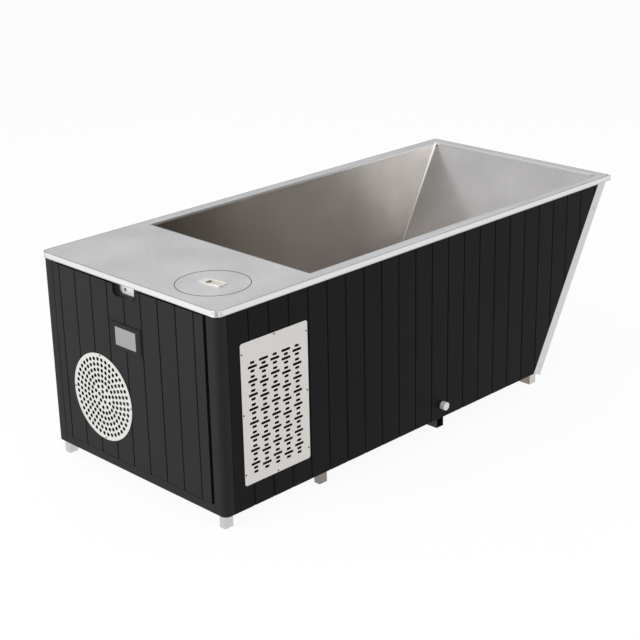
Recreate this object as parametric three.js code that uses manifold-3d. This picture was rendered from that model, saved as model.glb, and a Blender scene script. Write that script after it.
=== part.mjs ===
// Cold plunge tub: a stainless well with a sloped head end, clad in black planks,
// with a cooling bay at its foot.
// Millimetres, +Z up. The origin is on the floor under the middle of the deck. The service door faces -X,
// the sloped head end is at +X, and left and right are as seen by someone facing the door.

import * as THREE from 'three';
import { mergeVertices } from 'three/addons/utils/BufferGeometryUtils.js';
import Module from 'manifold-3d';

const wasm = await Module();
wasm.setup();

// Whole tub
const LENGTH = 1800;
const WIDTH = 790;
const HEIGHT = 660;
const FOOT_HEIGHT = 44; // floor to the cladding's lower edge
const HEAD_SLOPE = THREE.MathUtils.degToRad(28.9); // lean of the head end from upright
const SEAT = 0.3; // gap between two pieces that bear on each other
const OVERCUT = 5; // how far a cutter runs past the face it cuts
const LAP = 1; // how far joined shapes run into each other

// Top deck and well
const DECK_SHEET = 2;
const DECK_SKIRT = 18;
const DECK_CORNER = 23;
const DECK_OVERHANG = 2.8; // deck edge beyond the cladding
const BAY_DECK = 386; // deck length from the front edge to the well
const SIDE_FLANGE = 37.5;
const BACK_FLANGE = 38;
const WELL_SHEET = 2;
const WELL_LIP = 8;
const WELL_RAISE = 60; // well floor above the cladding's lower edge

// Cladding
const PLANK = 11;
const PLANK_PITCH = 76;
const GROOVE_WIDTH = 5;
const GROOVE_DEPTH = 3;
const CLADDING_DROP = 3; // cladding's upper edge below the deck sheet
const CORNER_FRONT = 45;
const CORNER_SIDE = 35;
const CORNER_RADIUS = 20;
const REAR_PLANK = 8;
const REAR_INSULATION = 9;
const REAR_TOP_GAP = 8; // rear planks below the deck sheet
const TRIM_LEG = 38;
const TRIM_SHEET = 2;
const TRIM_DROP = 15; // slope trim below the cladding's lower edge

// Service door
const SILL_HEIGHT = 28;
const DOOR_FOOT_GAP = 1.2;
const DOOR_TOP_GAP = 7;
const DOOR_SIDE_GAP = 2;
const FINGER_GAP = 12.5;
const DOOR_GROOVE_Y = 9; // one of the door's grooves
const DOOR_CORE = 14;
const CORE_INSET = 3;
const NOTCH_Y = 4.5;
const NOTCH_WIDTH = 104;
const NOTCH_DEPTH = 33;
const NOTCH_CHAMFER = 8;
const PIVOT_INSET = 12; // pivot axis from the door's left edge
const PIVOT_DEPTH = 6; // pivot axis behind the door's face
const PIVOT_RADIUS = 3;
const PIVOT_REACH = 14; // pin length inside the door
const PIVOT_FIT = 0.35;
const PIVOT_PLATE = 3;
const PIVOT_PLATE_WIDTH = 18;
const PIVOT_COLLAR = 4.5;
const PIVOT_EMBED = 12; // lower pin's length inside the sill
const STRIKE_GAP = 3; // strike plate behind the door
const STRIKE_SHEET = 2;
const STRIKE_Y = [-5, 70];
const STRIKE_DROP = 58; // strike plate's lower edge below the deck sheet
const STRIKE_HOLE = [34, 14, 5]; // place along Y, height above the lower edge, radius

// Round vent, display and side grille
const VENT_Y = 139;
const VENT_HEIGHT = 215; // centre above the cladding's lower edge
const VENT_RADIUS = 137;
const VENT_SHEET = 1.5;
const VENT_AIRWAY = 126; // radius of the hole behind the vent
const VENT_RING_PITCH = 17.05;
const VENT_RING_HOLES = [1, 5, 10, 20, 25, 30, 35, 40];
const VENT_HOLE_RADIUS = 6.2;
const VENT_TURN = THREE.MathUtils.degToRad(3);
const DISPLAY_Y = 8;
const DISPLAY_HEIGHT = 437; // centre above the cladding's lower edge
const DISPLAY_SIZE = [137, 80];
const DISPLAY_RISE = 2.5;
const DISPLAY_BOX = [116, 60, 30]; // the part behind the door's face
const DISPLAY_FIT = 1; // round the box in its cut-out
const SCREEN_SIZE = [92.5, 56.5];
const SCREEN_OFFSET = [0.5, -3];
const SCREEN_THICK = 1.7;
const SCREEN_FIT = 0.4;
const GRILLE_X = 207; // centre from the deck's front edge
const GRILLE_HEIGHT = 286.5; // centre above the cladding's lower edge
const GRILLE_SIZE = [256, 428.5];
const GRILLE_CORNER = 8;
const GRILLE_SHEET = 1.5;
const GRILLE_BORDER = 10; // grille overlap on the cladding round its cut-out
const GRILLE_BLANK = 64.6; // plain band above the first row of slots
const SLOT_LONG = 34;
const SLOT_SHORT = 16.5;
const SLOT_HEIGHT = 7.4;
const SLOT_COLUMNS = 5;
const SLOT_COLUMN_PITCH = 42.5;
const SLOT_ROW_PITCH = 12.7;
const SLOT_GROUP_PITCH = 41.8;
const SLOT_GROUPS = 8;

// Filter hatch
const LID_X = 151; // centre from the deck's front edge
const LID_Y = -211;
const LID_RADIUS = 106.5;
const LID_GAP = 1.4;
const LID_SHEET = 2;
const GASKET = 4;
const GASKET_INSET = 2;
const LEDGE = 14;
const LEDGE_SHEET = 2;
const LID_SEAT_FLANGE = 12;
const PULL_LENGTH = 78;
const PULL_WIDTH = 38;
const PULL_RISE = 3;
const PULL_FLANGE = 3.5;
const PULL_CUP = 6; // cup depth below the lid's top
const PULL_WALL = 2;
const PULL_LIP = 14; // lip over the cup's far end, for the fingertips
const PULL_TURN = THREE.MathUtils.degToRad(7);
const CANISTER_RADIUS = 80;
const CANISTER_WALL = 6;
const CANISTER_HEIGHT = 280;
const CANISTER_FLANGE = 20;
const CARTRIDGE_RADIUS = 62;
const CARTRIDGE_CORE = 22;
const CARTRIDGE_HEIGHT = 220;
const PLEATS = 22;
const PLEAT_DEPTH = 8;

// Legs and frame
const LEG_LENGTH = 31;
const LEG_WIDTH = 23;
const LEG_INSET = 20.5; // leg's outer face inside the deck edge
const TUBE_WALL = 1.5;
const RAIL_HEIGHT = 30;
const RAIL_END_GAP = 4;
const MIDDLE_LEG_X = 390; // from the deck's front edge
const SKID_X = 924; // from the deck's front edge
const SKID_LENGTH = 32;
const SKID_INSET = 23;
const BACK_RAIL_LENGTH = 32;
const HEADER_DEPTH = 30;
const HEADER_HEIGHT = 30;
const HEADER_DROP = 28; // header's top below the deck sheet

// Drain
const DRAIN_X = 925; // from the deck's front edge
const DRAIN_Y = -180;
const DRAIN_CUP_RADIUS = 22;
const DRAIN_CUP_WALL = 4;
const DRAIN_FLANGE = 38;
const DRAIN_FLANGE_SHEET = 2;
const DRAIN_PIPE_RADIUS = 10;
const DRAIN_BORE = 7;
const DRAIN_NIPPLE = 12; // pipe end beyond the cladding
const DRAIN_HOLE_FIT = 0.6;
const DRAIN_CHANNEL = 6; // room round the drain in the insulation
const CAP_FLATS = 26;
const CAP_LENGTH = 18;
const CAP_FIT = 0.7;
const CAP_BORE_SPARE = 2;
const SEAL_THICK = 1.2;
const SEAL_WIDTH = 3.5;

// Cooling bay
const FRONT_INSULATION = 20;
const TRAY_SHEET = 2;
const TRAY_FRONT_GAP = 1;
const FAN_RADIUS = 115;
const FAN_TIP_GAP = 5;
const FAN_DEPTH = 40;
const FAN_RIM = 10;
const FAN_BLADES = 5;
const FAN_CHORD = 50;
const FAN_PITCH = THREE.MathUtils.degToRad(25);
const FAN_BLADE_SHEET = 2.5;
const FAN_HUB_RADIUS = 32;
const FAN_HUB_GAP = 5;
const FAN_ARM = 16;
const FAN_ARM_SHEET = 4;
const FAN_MOTOR_RADIUS = 36;
const FAN_MOTOR_LENGTH = 42;
const SHAFT_RADIUS = 4;
const SHAFT_FIT = 0.5;
const SHAFT_HOLE = 7;
const CONDENSER_DEPTH = 44;
const CONDENSER_GAP = 6; // between the cladding and the coil
const CONDENSER_MARGIN = 6; // coil beyond the grille's edges
const FIN_PITCH = 16;
const FIN_SLOT = 5;
const FIN_SLOT_DEPTH = 8;
const COMPRESSOR_RADIUS = 62;
const COMPRESSOR_HEIGHT = 235;
const COMPRESSOR_Y = 230;
const COMPRESSOR_BACK = 95; // axis in front of the bay's back wall
const COMPRESSOR_BASE = 140;
const COMPRESSOR_BASE_SHEET = 4;
const COMPRESSOR_DOME = 25;
const COMPRESSOR_PORT_HEIGHT = 190;
const EXCHANGER_SIZE = [120, 110];
const EXCHANGER_DROP = 44.5; // its top below the filter pipe's axis
const EXCHANGER_Y = 60;
const EXCHANGER_BACK = 30; // its back face in front of the bay's back wall
const EXCHANGER_CHAMFER = 14;
const RETURN_HEIGHT = 225; // return nozzle above the tray
const PUMP_Y = -130;
const PUMP_AXIS = 75; // above the tray
const VOLUTE_BACK = 40; // volute's back face in front of the bay's back wall
const VOLUTE_RADIUS = 62;
const VOLUTE_DEPTH = 46;
const VOLUTE_WALL = 6;
const VOLUTE_INLET = 30; // inlet stub's length
const PUMP_FLANGE = 6;
const PUMP_MOTOR_RADIUS = 52;
const PUMP_MOTOR_LENGTH = 150;
const PUMP_FOOT_LENGTH = 90;
const PUMP_FOOT_WIDTH = 80;
const PUMP_FOOT_GAP = 30; // foot behind the pump's face
const PUMP_FOOT_TOP = 36; // foot's top below the pump's axis, inside the casing
const IMPELLER_RADIUS = 48;
const IMPELLER_DISC = 5;
const IMPELLER_VANES = 6;
const IMPELLER_VANE = 12;
const IMPELLER_GAP = 8;
const IMPELLER_SHAFT = 6;
const IMPELLER_SHAFT_DEPTH = 22;
const WATER_PIPE_RADIUS = 13;
const WATER_PIPE_WALL = 3;
const WATER_BEND = 24;
const FILTER_BEND = 16.8;
const FITTING_RADIUS = 20;
const FITTING_BORE = 14;
const FITTING_FIT = 0.8;
const STRAINER_RADIUS = 45;
const NOZZLE_RADIUS = 32;
const FITTING_DISC = 4;
const FITTING_DOME = 10;
const DOME_SHARE = 0.7; // flat middle of a fitting's dome
const PORT_LENGTH = 14;
const GAS_PIPE_RADIUS = 5;
const GAS_PORT_RADIUS = 7;
const GAS_BEND = 20;
const GAS_CLEARANCE = 15; // hot gas line above the heat exchanger and the compressor
const GAS_BACK = 36; // hot gas line in front of the bay's back wall
const LIQUID_HEIGHT = 30; // liquid line above the tray
const LIQUID_BACK = 30;
const LIQUID_SIDE = 35; // liquid line's turn beside the heat exchanger
const CANISTER_INLET_DROP = 170; // inlet below the canister's top
const CANISTER_OUTLET_RISE = 70; // outlet above the canister's foot
const CONTROL_SIZE = [90, 210];
const CONTROL_RISE = 26.4; // its foot above the hot gas line's axis
const CONTROL_DROP = 40; // below the deck sheet
const CONTROL_CORNER = 6;
const GLAND_X = 200; // from the deck's front edge
const GLAND_HEIGHT = 75; // above the cladding's lower edge
const GLAND_THREAD = 9;
const GLAND_NUT = 14;
const GLAND_NUT_THICK = 6;
const GLAND_COLLAR = 8;
const GLAND_REACH = 18; // beyond the cladding
const GLAND_DOME = 8;
const GLAND_BORE = 4;

// Facets on round shapes
const ROUND_LARGE = 40;
const ROUND_SMALL = 16;
const ROUND_PIPE = 10;
const ROUND_HOLE = 6;
const CORNER_STEPS = 6;
const PIPE_STEP = 18;

// Main planes
const xFront = -LENGTH / 2;
const xBack = LENGTH / 2;
const xFace = xFront + DECK_OVERHANG;
const yFace = WIDTH / 2 - DECK_OVERHANG;
const zUnder = HEIGHT - DECK_SHEET;
const zSkirt = HEIGHT - DECK_SKIRT;
const zCladTop = zUnder - CLADDING_DROP;
const wellFront = xFront + BAY_DECK;
const wellBack = xBack - BACK_FLANGE;
const wellHalf = WIDTH / 2 - SIDE_FLANGE;
const wellFloor = FOOT_HEIGHT + WELL_RAISE;
const wellTop = zUnder - SEAT;
const lean = Math.tan(HEAD_SLOPE);
const across = 1 / Math.cos(HEAD_SLOPE); // level distance for one unit square to the slope
const headWall = WELL_SHEET + REAR_INSULATION + REAR_PLANK + TRIM_SHEET + 3 * SEAT;
const wellX = (z) => wellBack - (HEIGHT - z) * lean; // inner face of the sloped wall
const outerX = (z) => wellX(z) + headWall * across; // outer face of the slope trims
const trimX = (z) => outerX(z) - TRIM_LEG * across;
const plankX = (z) => outerX(z) - (TRIM_SHEET + SEAT + REAR_PLANK) * across;
const foamX = (z) => wellX(z) + (WELL_SHEET + SEAT) * across;

const railTop = FOOT_HEIGHT + RAIL_HEIGHT;
const legOuter = WIDTH / 2 - LEG_INSET;
const legInner = legOuter - LEG_WIDTH;
const legFront = xFace + PLANK + SEAT;
const legBack = legFront + LEG_LENGTH;
const backRailFront = trimX(FOOT_HEIGHT);
const backRailBack = backRailFront + BACK_RAIL_LENGTH;
const foamBack = wellFront - WELL_SHEET - SEAT;
const bayBack = foamBack - FRONT_INSULATION;
const trayFront = legBack + TRAY_FRONT_GAP;
const trayTop = railTop + SEAT + TRAY_SHEET;
const bayFloor = trayTop + SEAT;

const doorLeft = yFace - CORNER_FRONT - DOOR_SIDE_GAP;
const doorRight = FINGER_GAP - (yFace - CORNER_FRONT);
const doorFoot = FOOT_HEIGHT + SILL_HEIGHT + DOOR_FOOT_GAP;
const doorTop = zSkirt - DOOR_TOP_GAP;
const coreFront = xFace + PLANK + SEAT;
const coreBack = coreFront + DOOR_CORE;
const pivotX = xFace + PIVOT_DEPTH;
const pivotY = doorLeft - PIVOT_INSET;
const strikeFront = coreBack + STRIKE_GAP;
const headerFront = strikeFront + STRIKE_SHEET + SEAT;
const headerTop = zUnder - HEADER_DROP;
const notchFoot = doorTop - NOTCH_DEPTH;
const ventZ = FOOT_HEIGHT + VENT_HEIGHT;
const displayZ = FOOT_HEIGHT + DISPLAY_HEIGHT;
const grilleX = xFront + GRILLE_X;
const grilleZ = FOOT_HEIGHT + GRILLE_HEIGHT;

const lidX = xFront + LID_X;
const lidHole = LID_RADIUS + LID_GAP;
const ledgeInner = LID_RADIUS - LEDGE;
const ledgeTop = HEIGHT - LID_SHEET - GASKET - 2 * SEAT;
const canisterTop = ledgeTop - LEDGE_SHEET - SEAT;
const canisterFoot = canisterTop - CANISTER_HEIGHT;

const drainX = xFront + DRAIN_X;
const drainZ = (railTop + wellFloor - WELL_SHEET) / 2;
const drainEnd = -yFace - DRAIN_NIPPLE;
const sealOuter = -yFace - SEAT - SEAL_THICK;

const fanFront = trayFront + SEAT;
const fanBack = fanFront + FAN_DEPTH;
const fanBore = FAN_RADIUS + FAN_TIP_GAP;
const coilOuter = yFace - PLANK - CONDENSER_GAP;
const coilInner = coilOuter - CONDENSER_DEPTH;
const coilTop = grilleZ + GRILLE_SIZE[1] / 2 + CONDENSER_MARGIN;
const compressorX = bayBack - COMPRESSOR_BACK;
const exchangerBack = bayBack - EXCHANGER_BACK;
const exchangerX = exchangerBack - EXCHANGER_SIZE[0] / 2;
const exchangerRight = EXCHANGER_Y - EXCHANGER_SIZE[1] / 2;
const exchangerLeft = EXCHANGER_Y + EXCHANGER_SIZE[1] / 2;
const canisterOutlet = canisterFoot + CANISTER_OUTLET_RISE;
const exchangerTop = canisterOutlet - EXCHANGER_DROP;
const returnZ = bayFloor + RETURN_HEIGHT;
const pumpZ = bayFloor + PUMP_AXIS;
const voluteBack = bayBack - VOLUTE_BACK;
const voluteFront = voluteBack - VOLUTE_DEPTH;
const voluteX = (voluteFront + voluteBack) / 2;
const pumpFace = voluteFront - SEAT;

// Finishes
const finish = (color, roughness, metalness) =>
  new THREE.MeshStandardMaterial({ color, roughness, metalness, flatShading: true });
const brushedSteel = finish(0xc9cacc, 0.35, 1);
const blackPlank = finish(0x2b2b2d, 0.6, 0);
const blackPaint = finish(0x1c1c1e, 0.5, 0.2);
const blackPlastic = finish(0x141416, 0.5, 0);
const screenGlass = finish(0xb2b4ba, 0.2, 0);
const foam = finish(0xd9d6c8, 0.95, 0);
const rubber = finish(0x202022, 0.9, 0);
const whitePlastic = finish(0xe6e6e2, 0.5, 0);
const bluePlastic = finish(0x3a5f86, 0.5, 0);
const copper = finish(0xb0714a, 0.35, 1);
const coilMetal = finish(0xa9adb0, 0.45, 1);
const filterPaper = finish(0xe9ecec, 0.9, 0);

// Merges shared vertices, drops empty triangles and turns the faces outwards.
function tidy(geometry) {
  geometry.deleteAttribute('normal');
  geometry.deleteAttribute('uv');
  const merged = mergeVertices(geometry, 1e-4);
  const corner = (i) => new THREE.Vector3().fromBufferAttribute(merged.attributes.position, i);
  const faces = [];
  let volume = 0;
  for (let i = 0; i < merged.index.count; i += 3) {
    const face = [0, 1, 2].map((k) => merged.index.getX(i + k));
    if (new Set(face).size === 3) {
      const [a, b, c] = face.map(corner);
      volume += a.dot(b.cross(c));
      faces.push(face);
    }
  }
  merged.setIndex(faces.flatMap(([a, b, c]) => (volume < 0 ? [a, c, b] : [a, b, c])));
  return merged;
}

function toSolid(geometry) {
  const clean = tidy(geometry);
  const vertProperties = new Float32Array(clean.attributes.position.array);
  const triVerts = new Uint32Array(clean.index.array);
  return new wasm.Manifold(new wasm.Mesh({ numProp: 3, vertProperties, triVerts }));
}

function toGeometry(solid) {
  const mesh = solid.getMesh();
  const geometry = new THREE.BufferGeometry();
  geometry.setAttribute('position', new THREE.BufferAttribute(new Float32Array(mesh.vertProperties), 3));
  geometry.setIndex(new THREE.BufferAttribute(new Uint32Array(mesh.triVerts), 1));
  return geometry;
}

const cut = (base, ...cutters) => toGeometry(wasm.Manifold.difference([base, ...cutters].map(toSolid)));
const join = (...pieces) => toGeometry(wasm.Manifold.union(pieces.map(toSolid)));

function box(x0, x1, y0, y1, z0, z1) {
  const geometry = new THREE.BoxGeometry(x1 - x0, y1 - y0, z1 - z0);
  return geometry.translate((x0 + x1) / 2, (y0 + y1) / 2, (z0 + z1) / 2);
}

const unitX = new THREE.Vector3(1, 0, 0);
const unitY = new THREE.Vector3(0, 1, 0);
const unitZ = new THREE.Vector3(0, 0, 1);

// An outline carried along an axis: (y, z) along X, (x, z) along Y, or (x, y) along Z.
function prism(axis, outline, from, to, holes = []) {
  const points = (list) => list.map(([a, b]) => new THREE.Vector2(a, b));
  const shape = new THREE.Shape(points(outline));
  shape.holes = holes.map((hole) => new THREE.Path(points(hole)));
  const geometry = new THREE.ExtrudeGeometry(shape, { depth: to - from, bevelEnabled: false });
  if (axis === 'x') {
    geometry.applyMatrix4(new THREE.Matrix4().makeBasis(unitY, unitZ, unitX)).translate(from, 0, 0);
  } else if (axis === 'y') {
    geometry.rotateX(Math.PI / 2).translate(0, to, 0);
  } else {
    geometry.translate(0, 0, from);
  }
  return geometry;
}

// A profile of (radius, height) turned about X, Y or Z.
function turned(axis, profile, sides = ROUND_LARGE) {
  const geometry = new THREE.LatheGeometry(profile.map(([r, h]) => new THREE.Vector2(r, h)), sides);
  if (axis === 'x') {
    geometry.rotateZ(-Math.PI / 2);
  } else if (axis === 'z') {
    geometry.rotateX(Math.PI / 2);
  }
  return geometry;
}

const rod = (axis, radius, from, to, sides = ROUND_SMALL) =>
  turned(axis, [[0, from], [radius, from], [radius, to], [0, to]], sides);

const ring = (axis, inner, outer, from, to, sides = ROUND_LARGE) =>
  turned(axis, [[inner, from], [outer, from], [outer, to], [inner, to], [inner, from]], sides);

function circle(a, b, radius, sides, turn = 0) {
  return Array.from({ length: sides }, (_, i) => {
    const angle = turn + (2 * Math.PI * i) / sides;
    return [a + radius * Math.cos(angle), b + radius * Math.sin(angle)];
  });
}

// A quarter arc about (a, b) that starts at an angle, in degrees, and turns a quarter.
function quarter(a, b, radius, start, sweep = 90) {
  return Array.from({ length: CORNER_STEPS + 1 }, (_, i) => {
    const angle = THREE.MathUtils.degToRad(start + (sweep * i) / CORNER_STEPS);
    return [a + radius * Math.cos(angle), b + radius * Math.sin(angle)];
  });
}

const rectangle = (a0, a1, b0, b1) => [[a0, b0], [a1, b0], [a1, b1], [a0, b1]];

const roundedRectangle = (a0, a1, b0, b1, r) => [
  ...quarter(a1 - r, b1 - r, r, 0),
  ...quarter(a0 + r, b1 - r, r, 90),
  ...quarter(a0 + r, b0 + r, r, 180),
  ...quarter(a1 - r, b0 + r, r, 270),
];

const chamferedRectangle = (a0, a1, b0, b1, c) => [
  [a0 + c, b0], [a1 - c, b0], [a1, b0 + c], [a1, b1 - c],
  [a1 - c, b1], [a0 + c, b1], [a0, b1 - c], [a0, b0 + c],
];

// A rectangular tube along one axis, open at both ends.
const tube = (axis, a0, a1, b0, b1, from, to) =>
  prism(axis, rectangle(a0, a1, b0, b1), from, to, [
    rectangle(a0 + TUBE_WALL, a1 - TUBE_WALL, b0 + TUBE_WALL, b1 - TUBE_WALL),
  ]);

// Straight runs through the points, with a bend of one radius at each corner.
function route(points, bend) {
  const path = new THREE.CurvePath();
  const corners = points.map(([x, y, z]) => new THREE.Vector3(x, y, z));
  let start = corners[0];
  for (let i = 1; i < corners.length - 1; i++) {
    const corner = corners[i];
    const enter = corner.clone().add(corners[i - 1].clone().sub(corner).setLength(bend));
    const leave = corner.clone().add(corners[i + 1].clone().sub(corner).setLength(bend));
    path.add(new THREE.LineCurve3(start, enter));
    path.add(new THREE.QuadraticBezierCurve3(enter, corner, leave));
    start = leave;
  }
  path.add(new THREE.LineCurve3(start, corners.at(-1)));
  return path;
}

function pipe(points, radius, bend, bore = 0) {
  const path = route(points, bend);
  const shape = new THREE.Shape(circle(0, 0, radius, ROUND_PIPE).map(([a, b]) => new THREE.Vector2(a, b)));
  if (bore > 0) {
    shape.holes = [new THREE.Path(circle(0, 0, bore, ROUND_PIPE).map(([a, b]) => new THREE.Vector2(a, b)))];
  }
  const steps = Math.ceil(path.getLength() / PIPE_STEP);
  return new THREE.ExtrudeGeometry(shape, { steps, extrudePath: path });
}

// Two distances from the middle plane as a rising pair on the left (1) or the right (-1).
const onSide = (side, inner, outer) => (side > 0 ? [inner, outer] : [-outer, -inner]);

const tub = new THREE.Group();

function add(name, geometry, material, place = [0, 0, 0], parent = tub) {
  const mesh = new THREE.Mesh(tidy(geometry), material);
  mesh.name = name;
  mesh.position.set(...place);
  parent.add(mesh);
  return mesh;
}

// Top deck: one sheet with a folded skirt, the well's mouth and the filter hatch.
function deckOutline(inset) {
  const r = DECK_CORNER - inset;
  const x0 = xFront + inset;
  const x1 = xBack - inset;
  const half = WIDTH / 2 - inset;
  return [
    [x1, -half], [x1, half],
    ...quarter(x0 + r, half - r, r, 90),
    ...quarter(x0 + r, r - half, r, 180),
  ];
}

const lidMouth = rod('z', lidHole, zUnder - OVERCUT, HEIGHT + OVERCUT, ROUND_LARGE);
lidMouth.translate(lidX, LID_Y, 0);
add('top_deck', cut(
  prism('z', deckOutline(0), zSkirt, HEIGHT),
  prism('z', deckOutline(DECK_SHEET), zSkirt - OVERCUT, zUnder),
  box(wellFront, wellBack, -wellHalf, wellHalf, zUnder - OVERCUT, HEIGHT + OVERCUT),
  lidMouth,
), brushedSteel);

// Well: a welded sheet shell with an outward lip under the deck.
function wellOutline(sheet, top) {
  const floor = wellFloor - sheet;
  const back = (z) => wellX(z) + sheet * across;
  return [[wellFront - sheet, floor], [back(floor), floor], [back(top), top], [wellFront - sheet, top]];
}

const lipReach = WELL_SHEET + WELL_LIP;
const throughWell = (axis, radius, from, to, place) => rod(axis, radius, from, to).translate(...place);
add('basin', cut(
  join(
    prism('y', wellOutline(WELL_SHEET, wellTop), -wellHalf - WELL_SHEET, wellHalf + WELL_SHEET),
    box(wellFront - lipReach, wellBack + lipReach, -wellHalf - lipReach, wellHalf + lipReach,
      wellTop - WELL_SHEET, wellTop),
  ),
  prism('y', wellOutline(0, wellTop + OVERCUT), -wellHalf, wellHalf),
  throughWell('x', FITTING_RADIUS + FITTING_FIT, foamBack, wellFront + OVERCUT, [0, PUMP_Y, pumpZ]),
  throughWell('x', FITTING_RADIUS + FITTING_FIT, foamBack, wellFront + OVERCUT, [0, EXCHANGER_Y, returnZ]),
  throughWell('z', DRAIN_CUP_RADIUS + FITTING_FIT, drainZ, wellFloor + OVERCUT, [drainX, DRAIN_Y, 0]),
), brushedSteel);

// Wall fitting in the well's front wall: a domed disc inside, and a bored tail through to the bay.
function wallFitting(name, radius, tailEnd, y, z) {
  const face = wellFront + SEAT;
  add(name, turned('x', [
    [0, wellFront - OVERCUT], [FITTING_BORE, wellFront - OVERCUT], [FITTING_BORE, tailEnd],
    [FITTING_RADIUS, tailEnd], [FITTING_RADIUS, face], [radius, face], [radius, face + FITTING_DISC],
    [radius * DOME_SHARE, face + FITTING_DOME], [0, face + FITTING_DOME],
  ], ROUND_SMALL), brushedSteel, [0, y, z]);
}

wallFitting('suction_strainer', STRAINER_RADIUS, voluteBack + VOLUTE_INLET + SEAT, PUMP_Y, pumpZ);
wallFitting('return_nozzle', NOZZLE_RADIUS, exchangerBack + SEAT, EXCHANGER_Y, returnZ);

// Drain: a cup in the well floor, a pipe out through the side, and a screw cap on its end.
const cupInner = DRAIN_CUP_RADIUS - DRAIN_CUP_WALL;
const cupFoot = drainZ - DRAIN_PIPE_RADIUS - LAP;
const drainTop = wellFloor + SEAT + DRAIN_FLANGE_SHEET;
const cupSide = DRAIN_Y - DRAIN_CUP_RADIUS - SEAT;
add('floor_drain', cut(
  turned('z', [
    [0, cupFoot], [DRAIN_CUP_RADIUS, cupFoot], [DRAIN_CUP_RADIUS, wellFloor + SEAT],
    [DRAIN_FLANGE, wellFloor + SEAT], [DRAIN_FLANGE, drainTop], [cupInner, drainTop],
    [cupInner, cupFoot + DRAIN_CUP_WALL], [0, cupFoot + DRAIN_CUP_WALL],
  ], ROUND_SMALL),
  rod('y', DRAIN_BORE, -DRAIN_CUP_RADIUS - OVERCUT, 0, ROUND_PIPE).translate(0, 0, drainZ),
), brushedSteel, [drainX, DRAIN_Y, 0]);
add('drain_pipe', ring('y', DRAIN_BORE, DRAIN_PIPE_RADIUS, drainEnd, cupSide, ROUND_SMALL),
  brushedSteel, [drainX, 0, drainZ]);

const capBore = DRAIN_PIPE_RADIUS + CAP_FIT;
const capFace = sealOuter - SEAT;
add('drain_seal', ring('y', capBore, capBore + SEAL_WIDTH, sealOuter, -yFace - SEAT, ROUND_SMALL),
  rubber, [drainX, 0, drainZ]);
add('drain_cap', cut(
  prism('y', circle(0, 0, CAP_FLATS / 2 / Math.cos(Math.PI / 6), 6), capFace - CAP_LENGTH, capFace),
  rod('y', capBore, drainEnd - CAP_BORE_SPARE, capFace + OVERCUT),
), brushedSteel, [drainX, 0, drainZ]);

// Long side cladding: tongue-and-groove planks cut to the slope.
const claddingStart = xFace + CORNER_SIDE + SEAT;
const claddingEnd = (z) => trimX(z) - SEAT;

const grooveMouth = GROOVE_WIDTH / 2 / GROOVE_DEPTH * (GROOVE_DEPTH + OVERCUT);

function sideGroove(x, side) {
  const open = side * (yFace + OVERCUT);
  const floor = side * (yFace - GROOVE_DEPTH);
  return prism('z', [[x - grooveMouth, open], [x, floor], [x + grooveMouth, open]], 0, HEIGHT);
}

function sideCladding(side, ...cutters) {
  const outline = [
    [claddingStart, FOOT_HEIGHT], [claddingEnd(FOOT_HEIGHT), FOOT_HEIGHT],
    [claddingEnd(zCladTop), zCladTop], [claddingStart, zCladTop],
  ];
  const count = Math.floor((claddingEnd(zCladTop) - claddingStart) / PLANK_PITCH);
  const grooves = Array.from({ length: count }, (_, i) =>
    sideGroove(claddingStart + (i + 1) * PLANK_PITCH, side));
  return cut(prism('y', outline, ...onSide(side, yFace - PLANK, yFace)), ...grooves, ...cutters);
}

const sideCut = (axis0, axis1) => [Math.min(axis0, axis1) - OVERCUT, Math.max(axis0, axis1) + OVERCUT];
const grilleCut = box(
  grilleX - GRILLE_SIZE[0] / 2 + GRILLE_BORDER, grilleX + GRILLE_SIZE[0] / 2 - GRILLE_BORDER,
  ...sideCut(-yFace, PLANK - yFace),
  grilleZ - GRILLE_SIZE[1] / 2 + GRILLE_BORDER, grilleZ + GRILLE_SIZE[1] / 2 - GRILLE_BORDER,
);
const drainCut = rod('y', DRAIN_PIPE_RADIUS + DRAIN_HOLE_FIT, ...sideCut(-yFace, PLANK - yFace));
const glandX = xFront + GLAND_X;
const glandZ = FOOT_HEIGHT + GLAND_HEIGHT;
const glandCut = rod('y', GLAND_THREAD + DRAIN_HOLE_FIT, ...sideCut(yFace - PLANK, yFace));
add('cladding_right', sideCladding(-1, grilleCut, drainCut.translate(drainX, 0, drainZ)), blackPlank);
add('cladding_left', sideCladding(1, glandCut.translate(glandX, 0, glandZ)), blackPlank);

// Front corner posts with a rounded outer edge.
function cornerOutline(side) {
  const r = CORNER_RADIUS;
  const inner = yFace - PLANK;
  const outline = [
    [xFace, yFace - CORNER_FRONT],
    [xFace + PLANK, yFace - CORNER_FRONT],
    [xFace + PLANK, inner],
    [xFace + CORNER_SIDE, inner],
    [xFace + CORNER_SIDE, yFace],
    ...quarter(xFace + r, yFace - r, r, 90),
  ];
  return side > 0 ? outline : outline.map(([x, y]) => [x, -y]).reverse();
}

add('front_left_corner', prism('z', cornerOutline(1), FOOT_HEIGHT, zCladTop), blackPlank);
add('front_right_corner', prism('z', cornerOutline(-1), FOOT_HEIGHT, zCladTop), blackPlank);

// Sill under the door, bored for the lower pivot.
const sillHalf = yFace - CORNER_FRONT - SEAT;
const sillTop = FOOT_HEIGHT + SILL_HEIGHT;
add('door_sill', cut(
  box(xFace, xFace + PLANK, -sillHalf, sillHalf, FOOT_HEIGHT, sillTop),
  rod('z', PIVOT_RADIUS + PIVOT_FIT, sillTop - PIVOT_EMBED - SEAT, sillTop + OVERCUT, ROUND_PIPE)
    .translate(pivotX, pivotY, 0),
), blackPlank);

// Sloped back: planks and trims stand in a group that leans with the head end.
const head = new THREE.Group();
head.position.set(outerX(FOOT_HEIGHT), 0, FOOT_HEIGHT);
head.rotation.y = HEAD_SLOPE;
tub.add(head);

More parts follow.
